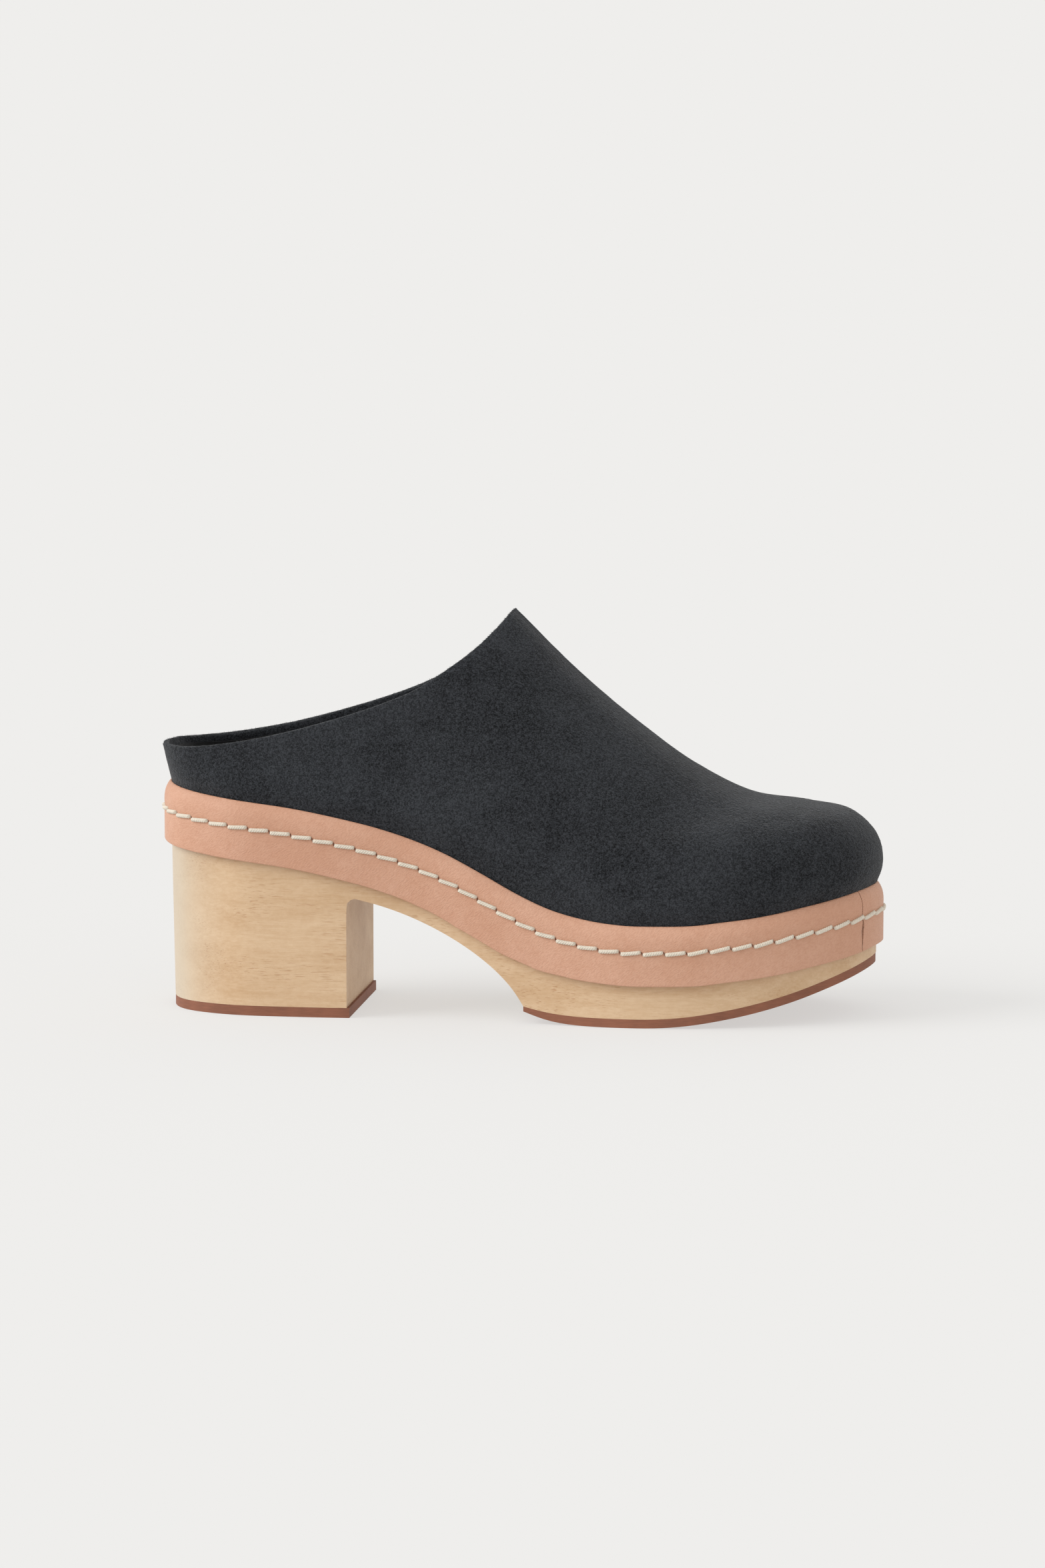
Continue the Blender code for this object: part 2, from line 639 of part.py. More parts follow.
def level_shares(length):
    """Levels up one column, as shares of it: even on the low collar, closer near the toe's foot."""
    power = 1 + LEVEL_CROWDING * min(1, length / THROAT_HEIGHT)
    return np.linspace(0, 1, UPPER_LEVELS + 1) ** power


def shared_surface():
    """Places and outward ways at the levels that every layer of the upper shares, so that the
    layers' flat facets lie parallel."""
    fine = upper_grid(np.linspace(0, 1, FINE_LEVELS) ** FINE_CROWDING)
    ways = layer_normals(fine)
    places, normals, runs = [], [], []
    for line, way in zip(fine, ways):
        share = arc_shares(line)
        length = np.linalg.norm(np.diff(line, axis=0), axis=1).sum()
        levels = level_shares(length)
        places.append(np.stack([np.interp(levels, share, line[:, i]) for i in range(3)], axis=1))
        out = np.stack([np.interp(levels, share, way[:, i]) for i in range(3)], axis=1)
        normals.append(out / np.linalg.norm(out, axis=1)[:, None])
        runs.append(levels * length)
    return np.array(places), np.array(normals), np.array(runs)


SURFACE, NORMALS, COLUMN_RUN = shared_surface()


def on_layer(column, run, depth):
    """The place in one column, a run up from the feather line, at a depth under the suede's face."""
    layer = SURFACE[column] - depth * NORMALS[column]
    return np.array([np.interp(run, COLUMN_RUN[column], layer[:, i]) for i in range(3)])


def chain_on_layer(column, start, end, depth, last=UPPER_LEVELS):
    """Places up one column from start to end, at the shared levels that lie between them. The
    others are spread along the facets next to the two ends, so that every chain has as many."""
    runs = COLUMN_RUN[column][1:last]
    kept = runs[(runs > start + LEAST_STEP) & (runs < end - LEAST_STEP)]
    below = int((runs <= start + LEAST_STEP).sum())
    above = int((runs >= end - LEAST_STEP).sum())
    first, final = (kept[0], kept[-1]) if len(kept) else (end, end)
    low = np.linspace(start, first, below + 1, endpoint=False)
    high = np.linspace(end, final, above + 1, endpoint=False)[::-1]
    return [on_layer(column, run, depth) for run in [*low, *kept, *high]]


def at_height(column, height, depth):
    """The run up a column at which the layer reaches this height above the wood's top."""
    low, high = 0.0, 0.02
    for _ in range(24):
        run = (low + high) / 2
        place = on_layer(column, run, depth)
        if place[2] - wood_top(place[0]) < height:
            low = run
        else:
            high = run
    return (low + high) / 2


def margin_ring():
    """The inner edge of the lasting margin under each column."""
    chains = []
    for curve in inset_curves(BAND_THICKNESS + CLEARANCE + FEATHER_SETBACK + MARGIN):
        x = curve[0, 0] + (curve[-1, 0] - curve[0, 0]) * STATION_SHARES
        chains.append(np.stack([x, np.interp(x, curve[:, 0], curve[:, 1])], axis=1))
    return np.vstack([chains[0], chains[1][-2:0:-1]])


MARGIN_RING = margin_ring()


def margin_point(column, height):
    x, y = MARGIN_RING[column]
    return np.array([x, y, wood_top(x) + height])


def make_suede():
    """The suede: lasting margin, outer face, rounded topline and the edge that turns in."""
    low, high = CLEARANCE, CLEARANCE + SUEDE
    fold_face = SUEDE + CLEARANCE + FOLD
    rings = []
    for column in range(len(SURFACE)):
        total = COLUMN_RUN[column, -1]
        fold_foot = total - FOLD_LENGTH
        slit_top = total - SUEDE
        face = chain_on_layer(column, at_height(column, low, 0.0), total, 0.0)
        turns = [
            on_layer(column, total, share * fold_face) + np.array([0, 0, FOLD_CROWN])
            for share in CROWN_SHARES
        ]
        fold = [
            on_layer(column, total, fold_face),
            on_layer(column, fold_foot, fold_face),
            on_layer(column, fold_foot, fold_face - FOLD),
            on_layer(column, slit_top, fold_face - FOLD),
            on_layer(column, slit_top, SUEDE),
        ]
        inside = chain_on_layer(column, at_height(column, high, SUEDE), fold_foot, SUEDE)
        ring = [margin_point(column, low), *face, *turns, *fold, *inside[::-1], margin_point(column, high)]
        rings.append([Vector(p) for p in ring])
    return collect("suede_upper", loft(rings, closed=True), "suede", 60)


def shell(columns, start, end, outer_depth, thickness, last=UPPER_LEVELS, margin=None):
    """A layer of the upper over some columns, with or without its own lasting margin."""
    rings = []
    for column in columns:
        faces = []
        for side, depth in enumerate((outer_depth, outer_depth + thickness)):
            chain = chain_on_layer(column, start(column, depth, side), end(column), depth, last)
            if margin is not None:
                chain = [margin_point(column, margin + side * thickness)] + chain
            faces.append(chain)
        rings.append([Vector(p) for p in faces[0] + faces[1][::-1]])
    return rings


LINING_DEPTH = SUEDE + CLEARANCE + max(FOLD, STIFFENER) + CLEARANCE
LINING_MARGIN = CLEARANCE + SUEDE + CLEARANCE
BOARD_LEVEL = LINING_MARGIN + LINING + CLEARANCE
FOAM_LEVEL = BOARD_LEVEL + BOARD + CLEARANCE
SOCK_LEVEL = FOAM_LEVEL + FOAM + CLEARANCE
BOARD_INSET = BAND_THICKNESS + CLEARANCE + FEATHER_SETBACK + LINING_DEPTH + LINING + CLEARANCE


def lining_start(column, depth, side):
    return at_height(column, LINING_MARGIN + side * LINING, depth)


def lining_end(column):
    return COLUMN_RUN[column, -1] - LINING_DROP


def stiffener_start(column, depth, side):
    return at_height(column, LINING_MARGIN, depth)


def columns_where(test):
    """Columns that pass a test on their share of the length, in one run round the ring."""
    ring = np.concatenate([STATION_SHARES, STATION_SHARES[-2:0:-1]])
    chosen = [i for i in range(len(ring)) if test(ring[i])]
    breaks = [i for i in range(len(chosen)) if chosen[i] - chosen[i - 1] != 1]
    return chosen[breaks[-1] :] + chosen[: breaks[-1]] if len(breaks) > 1 else chosen


def shared_level(level):
    return lambda column: COLUMN_RUN[column, level]


def make_linings_and_stiffeners():
    vamp = columns_where(lambda share: share > LINING_SEAM)
    heel = columns_where(lambda share: share < LINING_SEAM)
    toe = columns_where(lambda share: share > PUFF_START)
    counter = columns_where(lambda share: share < COUNTER_END)
    depth = SUEDE + CLEARANCE

    rings = shell(vamp, lining_start, lining_end, LINING_DEPTH, LINING, margin=LINING_MARGIN)
    collect("vamp_lining", loft(rings), "lining", 60)
    rings = shell(heel, lining_start, lining_end, LINING_DEPTH, LINING, margin=LINING_MARGIN)
    collect("heel_lining", loft(rings), "lining", 60)
    rings = shell(toe, stiffener_start, shared_level(PUFF_LEVEL), depth, STIFFENER, PUFF_LEVEL)
    collect("toe_puff", loft(rings), "stiffener", 60)
    rings = shell(counter, stiffener_start, shared_level(COUNTER_LEVEL), depth, STIFFENER, COUNTER_LEVEL)
    collect("heel_counter", loft(rings), "stiffener", 60)


def make_footbed():
    """Filler, insole board, foam and sock, laid on the wood inside the upper."""

    def above(height):
        return lambda x: wood_top(x) + height

    filler_inset = BAND_THICKNESS + CLEARANCE + FEATHER_SETBACK + MARGIN + CLEARANCE * 2
    layers = [
        ("bottom_filler", filler_inset, CLEARANCE, BOARD_LEVEL - CLEARANCE, "filler"),
        ("insole_board", BOARD_INSET, BOARD_LEVEL, BOARD_LEVEL + BOARD, "board"),
        ("foam_pad", BOARD_INSET, FOAM_LEVEL, FOAM_LEVEL + FOAM, "foam"),
        ("sock_lining", BOARD_INSET, SOCK_LEVEL, SOCK_LEVEL + SOCK, "lining"),
    ]
    for name, inset, low, high, material in layers:
        collect(name, slab(inset, 0, LENGTH, above(low), above(high)), material)
    return bpy.data.objects["insole_board"], bpy.data.objects["bottom_filler"]


def make_fasteners(wood, outsole, top_piece, board, filler):
    for i, (x, y) in enumerate(HEEL_NAIL_PLACES, 1):
        place = (x * LENGTH, y * HEEL_WIDTH, HEAD_RECESS)
        nail(f"heel_nail_{i}", HEEL_NAIL, place, True, (top_piece, wood))
    for i, (x, y) in enumerate(TACK_PLACES, 1):
        place = (x * LENGTH, y * BALL_WIDTH, float(tread_bottom(x * LENGTH)) + HEAD_RECESS)
        nail(f"outsole_tack_{i}", TACK, place, True, (outsole, wood))
    for i, (x, y) in enumerate(SEAT_NAIL_PLACES, 1):
        top = float(wood_top(x * LENGTH)) + BOARD_LEVEL + BOARD - HEAD_RECESS
        place = (x * LENGTH, y * HEEL_WIDTH, top)
        nail(f"seat_nail_{i}", SEAT_NAIL, place, False, (board, filler, wood))


def main():
    for obj in list(bpy.data.objects):
        bpy.data.objects.remove(obj, do_unlink=True)
    clog = bpy.data.objects.new("clog", None)
    clog.location = (-LENGTH / 2, -(OUTLINE[:, 1].min() + OUTLINE[:, 1].max()) / 2, 0)
    bpy.context.scene.collection.objects.link(clog)
    wood = make_wood()
    top_piece = make_top_piece()
    outsole = make_outsole()
    make_band()
    make_thread()
    make_suede()
    make_linings_and_stiffeners()
    board, filler = make_footbed()
    make_fasteners(wood, outsole, top_piece, board, filler)


main()
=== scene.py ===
"""The looks of a wooden clog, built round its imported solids.

Run as a script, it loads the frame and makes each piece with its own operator.
Metres, +Z up, +X to the toe, +Y to the inner side of the foot.
"""

import json
import math

import bmesh
import bpy
import numpy as np
from mathutils import Matrix, Vector, noise
from mathutils.geometry import interpolate_bezier

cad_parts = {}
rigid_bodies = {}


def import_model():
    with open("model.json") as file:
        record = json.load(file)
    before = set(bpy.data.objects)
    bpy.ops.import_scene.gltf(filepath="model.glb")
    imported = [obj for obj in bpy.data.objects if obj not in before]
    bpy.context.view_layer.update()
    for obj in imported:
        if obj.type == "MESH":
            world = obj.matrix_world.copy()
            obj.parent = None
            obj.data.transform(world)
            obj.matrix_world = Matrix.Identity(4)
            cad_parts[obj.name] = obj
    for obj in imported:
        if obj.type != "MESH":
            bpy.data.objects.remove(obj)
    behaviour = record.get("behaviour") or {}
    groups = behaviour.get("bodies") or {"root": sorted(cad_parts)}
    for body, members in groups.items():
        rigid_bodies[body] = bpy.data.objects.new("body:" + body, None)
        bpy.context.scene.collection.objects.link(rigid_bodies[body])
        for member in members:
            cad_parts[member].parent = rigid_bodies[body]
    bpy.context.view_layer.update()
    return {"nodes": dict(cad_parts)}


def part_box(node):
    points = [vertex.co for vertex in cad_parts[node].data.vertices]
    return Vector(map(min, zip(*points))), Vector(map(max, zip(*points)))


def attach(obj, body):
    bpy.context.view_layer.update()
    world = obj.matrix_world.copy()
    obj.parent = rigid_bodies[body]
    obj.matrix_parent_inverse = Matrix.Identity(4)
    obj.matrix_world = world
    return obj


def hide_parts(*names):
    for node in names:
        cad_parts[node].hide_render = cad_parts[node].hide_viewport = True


bl_info = {
    "name": "Wooden Clog",
    "version": (1, 0, 0),
    "blender": (4, 5, 0),
    "location": "3D View > Sidebar > Clog",
    "description": "Builds a stitched wooden clog, piece by piece, round its packed solids",
    "category": "Add Mesh",
}

for startup_object in list(bpy.data.objects):
    bpy.data.objects.remove(startup_object)
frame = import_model()

NAILS = sorted(name for name in frame["nodes"] if "nail" in name or "tack" in name)


# ---------------------------------------------------------------- sizes and colours
def length(name, description, default, **limits):
    return bpy.props.FloatProperty(
        name=name, description=description, default=default, unit="LENGTH", precision=5, **limits
    )


def colour(name, description, default):
    return bpy.props.FloatVectorProperty(
        name=name, description=description, default=default, size=3, min=0, max=1, subtype="COLOR"
    )


class ClogSizes(bpy.types.PropertyGroup):
    stitches: bpy.props.IntProperty(
        name="Stitches", description="Stitches round the whole band", default=79, min=8
    )
    first_stitch: length("First stitch", "Where the seam starts, along the band from the heel", 0.0)
    thread: length("Thread", "Diameter of the twisted thread", 0.0015, min=0.0002)
    stitch_slant: length("Slant", "How much higher a stitch ends than it starts", 0.0009)
    thread_turns: bpy.props.FloatProperty(
        name="Turns", description="Turns of the thread's twist in one stitch", default=2.8
    )
    seam_sink: length("Seam sink", "How far the seam pulls the leather in", 0.00022)
    hole_depth: length("Hole depth", "Depth of the awl holes between stitches", 0.0006)
    band_height: length("Band height", "Height of the leather band", 0.0200, min=0.005)
    band_thickness: length("Band thickness", "Thickness of the leather band", 0.0021)
    seam_drop: length("Seam drop", "Seam below the top edge of the band", 0.0088)
    butt_from_toe: length("Butt joint", "The band's joint behind the tip of the toe", 0.0200)
    butt_gap: length("Butt gap", "Widest opening of the band's joint", 0.0009)
    nap: length("Nap", "How far the suede's nap stands up and lies down", 0.00013)
    fibre: length("Fibre", "Length of the loose fibres at the suede's edge", 0.00060)
    fibres: bpy.props.IntProperty(
        name="Fibres", description="Loose fibres round the suede's edge", default=7000, min=0
    )


class ClogColours(bpy.types.PropertyGroup):
    suede_dark: colour("Suede, dark", "Suede where the nap lies away", (0.0036, 0.0040, 0.0046))
    suede_light: colour("Suede, light", "Suede with its nap brushed up", (0.0455, 0.0492, 0.0557))
    band: colour("Band", "Undyed vegetable-tanned leather", (0.560, 0.300, 0.195))
    band_pale: colour("Band, pale", "Paler clouds in the leather", (0.625, 0.360, 0.248))
    band_grain: colour("Band, grain", "Furrows of the leather's grain", (0.390, 0.165, 0.095))
    # Dark leather of the awl holes: the cut leather's colour together with painted shade inside the
    # holes.
    band_cut_and_hole_shade: colour("Cut edge and hole shade", "Leather in the holes and at cut edges", (0.150, 0.045, 0.025))
    thread: colour("Thread", "Waxed linen thread", (0.740, 0.670, 0.560))
    wood: colour("Wood", "Pale wood between the grain lines", (0.690, 0.500, 0.320))
    wood_grain: colour("Grain", "Grain lines and clouds in the wood", (0.520, 0.325, 0.170))
    # Paler, greyer wood at the heel's back: the end grain's tone together with a painted sheen of
    # the sun on that side.
    wood_end_grain_and_sheen: colour("End grain and painted sheen", "End grain and painted sheen at the back of the heel", (0.560, 0.490, 0.385))
    wood_pore: colour("Pores", "Short dark pores along the grain", (0.400, 0.175, 0.060))
    rubber: colour("Rubber", "Rubber of the treads", (0.235, 0.090, 0.050))
    lining: colour("Lining", "Lining and sock leather", (0.0060, 0.0060, 0.0065))
    studio: colour("Studio", "Light of the studio's walls", (0.863, 0.855, 0.839))


def sizes():
    return bpy.context.scene.clog_sizes


def colours():
    return bpy.context.scene.clog_colours


# ---------------------------------------------------------------- shader maths
class Value:
    """A socket of a material in the making. Arithmetic on it adds Math nodes."""

    def __init__(self, look, socket):
        self.look = look
        self.socket = socket

    def math(self, operation, *values):
        return self.look.node("ShaderNodeMath", {"operation": operation}, dict(enumerate(values)))

    def __add__(self, other):
        return self.math("ADD", self, other)

    __radd__ = __add__

    def __sub__(self, other):
        return self.math("SUBTRACT", self, other)

    def __rsub__(self, other):
        return self.math("SUBTRACT", other, self)

    def __mul__(self, other):
        return self.math("MULTIPLY", self, other)

    __rmul__ = __mul__

    def __abs__(self):
        return self.math("ABSOLUTE", self)


class Look:
    """A material in the making, round one Principled shader."""

    def __init__(self, name, fixed):
        self.material = bpy.data.materials.new(name)
        self.material.use_nodes = True
        self.tree = self.material.node_tree
        self.shader = self.tree.nodes["Principled BSDF"]
        for socket, value in fixed.items():
            self.shader.inputs[socket].default_value = value

    def node(self, kind, settings, sockets, output=0):
        """Adds a node, sets it up, then fills its sockets with values or links."""
        made = self.tree.nodes.new(kind)
        for key, value in settings.items():
            if key == "stops":
                ramp = made.color_ramp
                while len(ramp.elements) < len(value):
                    ramp.elements.new(1.0)
                for element, (position, shade) in zip(ramp.elements, value):
                    element.position = position
                    element.color = (*shade, 1)
            else:
                setattr(made, key, value)
        for key, value in sockets.items():
            self.fill(made.inputs[key], value)
        return Value(self, made.outputs[output])

    def fill(self, socket, value):
        if isinstance(value, Value):
            self.tree.links.new(value.socket, socket)
        else:
            opaque = socket.type == "RGBA" and len(value) == 3
            socket.default_value = (*value, 1) if opaque else value

    def place(self, scale=(1, 1, 1), turn=(0, 0, 0)):
        """Object coordinates, turned and then stretched."""
        where = self.node("ShaderNodeTexCoord", {}, {}, "Object")
        turned = self.node("ShaderNodeMapping", {}, {"Vector": where, "Rotation": turn})
        return self.node("ShaderNodeMapping", {}, {"Vector": turned, "Scale": scale})

    def attribute(self, name):
        return self.node("ShaderNodeAttribute", {"attribute_name": name}, {}, "Fac")

    def noise(self, where, scale, detail=2.0, roughness=0.5, distortion=0.0):
        sockets = {
            "Vector": where,
            "Scale": scale,
            "Detail": detail,
            "Roughness": roughness,
            "Distortion": distortion,
        }
        return self.node("ShaderNodeTexNoise", {}, sockets)

    def ease(self, value, low, high):
        """0 below low, 1 above high, and smooth between them."""
        return self.node(
            "ShaderNodeMapRange",
            {"interpolation_type": "SMOOTHSTEP"},
            {"Value": value, "From Min": low, "From Max": high},
        )

    def blend(self, share, under, over):
        """A colour part of the way from one colour to another."""
        return self.node("ShaderNodeMix", {"data_type": "RGBA"}, {0: share, 6: under, 7: over}, 2)

    def bump(self, height, distance, strength=1.0):
        made = self.node(
            "ShaderNodeBump", {}, {"Height": height, "Distance": distance, "Strength": strength}
        )
        self.fill(self.shader.inputs["Normal"], made)

    def surface(self, **values):
        """Links what changes over the surface to the shader."""
        for key, value in values.items():
            self.fill(self.shader.inputs[key.replace("_", " ").title()], value)
        return self.material


# ---------------------------------------------------------------- finishes
def suede_look():
    """Brushed suede: soft clouds where the nap leans, and a short pile in fine crumbs."""
    fixed = {"Sheen Weight": 0.15, "Sheen Roughness": 0.45, "Specular IOR Level": 0.10}
    look = Look("suede", fixed)
    where = look.place()
    cloud = look.noise(where, 26, 3, 0.55)
    nap = look.noise(where, 160, 3, 0.6)
    pile = look.noise(where, 1050, 2, 0.8)
    speck = look.noise(where, 2300, 1, 0.5)
    leaning = look.ease(cloud, 0.34, 0.66) * 0.22 + look.ease(nap, 0.34, 0.66) * 0.10
    leaning = leaning + look.ease(pile, 0.40, 0.62) * 0.38 + look.ease(speck, 0.42, 0.62) * 0.42
    shade = look.blend(leaning, colours().suede_dark, colours().suede_light)
    look.bump(pile * 0.8 + speck * 0.4 + nap * 0.5, 0.0009, 0.7)
    return look.surface(base_color=shade, roughness=0.82 + pile * 0.2)


def band_look():
    """Undyed leather: faint clouds, a fine slanting grain, and awl holes between stitches, painted
    dark with the cut leather's colour and painted shade.

    The band carries its place along the seam, in stitches, and above it, in millimetres.
    """
    look = Look("band_leather", {"Specular IOR Level": 0.35})
    where = look.place()
    cloud = look.noise(where, 34, 4, 0.6)
    fine = look.noise(where, 420, 3, 0.6)
    slanting = look.place((1.0, 1.0, 2.3), (0.0, math.radians(35), 0.0))
    crumbs = look.node(
        "ShaderNodeTexVoronoi",
        {"feature": "SMOOTH_F1"},
        {"Vector": slanting, "Scale": 1150, "Smoothness": 0.6},
    )
    wrinkle = look.noise(slanting, 980, 2, 0.6)
    grain = look.ease(crumbs, 0.10, 0.75) * 0.55 + look.ease(wrinkle, 0.35, 0.65) * 0.45
    paler = look.ease(cloud * 0.7 + fine * 0.3, 0.35, 0.68)
    shade = look.blend(paler, colours().band, colours().band_pale)
    grained = look.blend(look.ease(grain, 0.35, 0.95) * 0.20, shade, colours().band_grain)
    along, rise = look.attribute("stitch"), look.attribute("rise")
    part = look.node("ShaderNodeMath", {"operation": "FRACT"}, {0: along + 0.5}) - 0.5
    across = abs(part * 7.5 + rise * 0.62)
    # The awl holes are painted dark: the cut leather's colour together with painted shade inside
    # the holes.
    hole = (1 - look.ease(across, 0.10, 0.34)) * (1 - look.ease(abs(rise), 0.50, 0.85))
    with_hole_shade = look.blend(hole * 0.92, grained, colours().band_cut_and_hole_shade)
    look.bump(1 - grain - hole * 0.8 + fine * 0.3, 0.00020, 0.45)
    return look.surface(base_color=with_hole_shade, roughness=0.46 + fine * 0.2)


def thread_look():
    look = Look("thread", {"Specular IOR Level": 0.3})
    fibre = look.noise(look.place(), 2600, 2, 0.6)
    shaded = [0.86 * c for c in colours().thread]
    shade = look.blend(look.ease(fibre, 0.3, 0.7), shaded, colours().thread)
    look.bump(fibre, 0.0001, 0.4)
    return look.surface(base_color=shade, roughness=0.62 + fibre * 0.1)


def wood_look():
    """Bare wood with its grain from heel to toe: pale clouds, fine lines, short brown pores, and a
    paler back of the heel, which is end grain with a painted sheen.
    """
    look = Look("wood", {"Specular IOR Level": 0.5})
    cloud = look.noise(look.place((0.22, 1, 1)), 40, 3, 0.55, 0.6)
    band = look.noise(look.place((0.06, 1, 1)), 170, 3, 0.6, 0.3)
    line = look.noise(look.place((0.05, 1, 1)), 1500, 3, 0.7)
    pore = look.noise(look.place((0.055, 1, 1)), 3000, 2, 0.5)
    patch = look.noise(look.place((0.45, 1, 1)), 95, 2, 0.5)
    mottle = look.noise(look.place((0.55, 1, 1)), 700, 3, 0.7)
    grain = look.ease(cloud, 0.34, 0.66) * 0.34 + look.ease(band, 0.34, 0.66) * 0.26
    grain = grain + look.ease(line, 0.34, 0.66) * 0.20 + look.ease(mottle, 0.36, 0.64) * 0.18
    shade = look.blend(grain, colours().wood, colours().wood_grain)
    pores = look.ease(pore, 0.58, 0.70) * look.ease(patch, 0.42, 0.62)
    shaded = look.blend(pores * 0.50, shade, colours().wood_pore)
    # Faces turned to the heel's back, which face the sun, turn paler and greyer: the end grain's
    # tone together with a painted sheen of that light.
    normal = look.node("ShaderNodeNewGeometry", {}, {}, "Normal")
    facing = look.node("ShaderNodeSeparateXYZ", {}, {0: normal})
    behind = look.ease(facing, -0.20, -0.90)
    with_end_grain_and_sheen = look.blend(behind * 0.75, shaded, colours().wood_end_grain_and_sheen)
    look.bump(line * 0.5 - pores * 0.6, 0.00014, 0.6)
    return look.surface(base_color=with_end_grain_and_sheen, roughness=0.42 + line * 0.14)


def rubber_look():
    look = Look("rubber", {"Specular IOR Level": 0.4})
    where = look.place()
    cloud = look.noise(where, 60, 3, 0.6)
    scuff = look.noise(look.place((0.3, 0.3, 3.0)), 700, 3, 0.65)
    mixed = look.ease(cloud * 0.6 + scuff * 0.4, 0.3, 0.7)
    dark, light = ([share * c for c in colours().rubber] for share in (0.82, 1.2))
    shade = look.blend(mixed, dark, light)
    look.bump(scuff, 0.00015, 0.5)
    return look.surface(base_color=shade, roughness=0.58 + scuff * 0.16)


def lining_look():
    look = Look("lining", {"Specular IOR Level": 0.45})
    where = look.place()
    grain = look.node(
        "ShaderNodeTexVoronoi",
        {"feature": "SMOOTH_F1"},
        {"Vector": where, "Scale": 1100, "Smoothness": 0.7},
    )
    soft = look.noise(where, 120, 3, 0.6)
    light = [1.6 * c for c in colours().lining]
    shade = look.blend(look.ease(soft, 0.3, 0.7), colours().lining, light)
    look.bump(grain * 0.5 + soft * 0.4, 0.0002, 0.5)
    return look.surface(base_color=shade, roughness=0.40 + soft * 0.16)


def steel_look():
    look = Look("steel", {"Metallic": 1.0})
    where = look.place((1, 1, 0.3))
    brushed = look.noise(where, 3200, 2, 0.6)
    shade = look.blend(look.ease(brushed, 0.3, 0.7), (0.42, 0.42, 0.43), (0.62, 0.62, 0.63))
    look.bump(brushed, 0.00004, 0.4)
    return look.surface(base_color=shade, roughness=0.28 + brushed * 0.2)


def fibre_look(name, dark, light, scale):
    """Board, cork, foam and stiffener: two shades in crumbs of one size."""
    look = Look(name, {"Specular IOR Level": 0.2})
    sockets = {"Vector": look.place(), "Scale": scale}
    crumb = look.node("ShaderNodeTexVoronoi", {}, sockets, "Distance")
    fuzz = look.noise(look.place(), scale * 2.0, 2, 0.7)
    shade = look.blend(look.ease(crumb * 0.6 + fuzz * 0.5, 0.25, 0.75), dark, light)
    look.bump(crumb * 0.6 + fuzz * 0.4, 0.0003, 0.5)
    return look.surface(base_color=shade, roughness=0.82 + fuzz * 0.15)


# ---------------------------------------------------------------- meshes
def merged(node, bend=60):
    """A copy of a solid, its triangles joined in pairs where they bend less than this."""
    bm = bmesh.new()
    bm.from_mesh(frame["nodes"][node].data)
    bmesh.ops.remove_doubles(bm, verts=bm.verts, dist=2e-6)
    bmesh.ops.join_triangles(
        bm,
        faces=bm.faces,
        angle_face_threshold=math.radians(bend),
        angle_shape_threshold=math.radians(180),
        topology_influence=2.0,
    )
    return bm


def add_piece(name, bm, material, replaces=()):
    """Turns a bmesh into a piece that rides with the clog."""
    mesh = bpy.data.meshes.new(name)
    bm.to_mesh(mesh)
    bm.free()
    leftovers = [a for a in mesh.attributes if a.name in ("custom_normal", "UVMap")]
    for leftover in leftovers:
        mesh.attributes.remove(leftover)
    mesh.shade_smooth()
    mesh.materials.clear()
    mesh.materials.append(material)
    obj = bpy.data.objects.new(name, mesh)
    bpy.context.scene.collection.objects.link(obj)
    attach(obj, "root")
    if replaces:
        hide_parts(*replaces)
    return obj


def creased(obj, corner, levels=2):
    """Rounds a piece between its corners, which stay sharp."""
    bm = bmesh.new()
    bm.from_mesh(obj.data)
    crease = bm.edges.layers.float.new("crease_edge")
    for edge in bm.edges:
        edge[crease] = float(edge.calc_face_angle(0) > math.radians(corner))
    bm.to_mesh(obj.data)
    bm.free()
    obj.data.set_sharp_from_angle(angle=math.radians(corner))
    smooth = obj.modifiers.new("smooth", "SUBSURF")
    smooth.levels = levels
    smooth.render_levels = levels


def rounded_solid(name, node, material, radius, corner=32, swell=0.0):
    """A copy of a hard solid, its outline smoothed, its corners broken and its top raised."""
    bm = merged(node, 8)
    for vert in {vert for face in bm.faces if face.normal.z > 0.5 for vert in face.verts}:
        vert.co.z += swell
    obj = add_piece(name, bm, material, [node])
    creased(obj, corner)
    broken = obj.modifiers.new("broken_corners", "BEVEL")
    broken.width = radius
    broken.segments = 2
    broken.limit_method = "ANGLE"
    broken.angle_limit = math.radians(corner + 12)
    broken.harden_normals = True
    return obj


def smooth_loop(points, steps):
    """Closely spaced places on a closed smooth curve through these points."""
    count = len(points)
    made = []
    for i in range(count):
        before, start, end, after = (Vector(points[(i + k) % count]) for k in (-1, 0, 1, 2))
        span = (end - start).length
        leave = (end - before).normalized() * span / 3
        reach = (after - start).normalized() * span / 3
        made += interpolate_bezier(start, start + leave, end - reach, end, steps + 1)[:-1]
    return np.array(made)


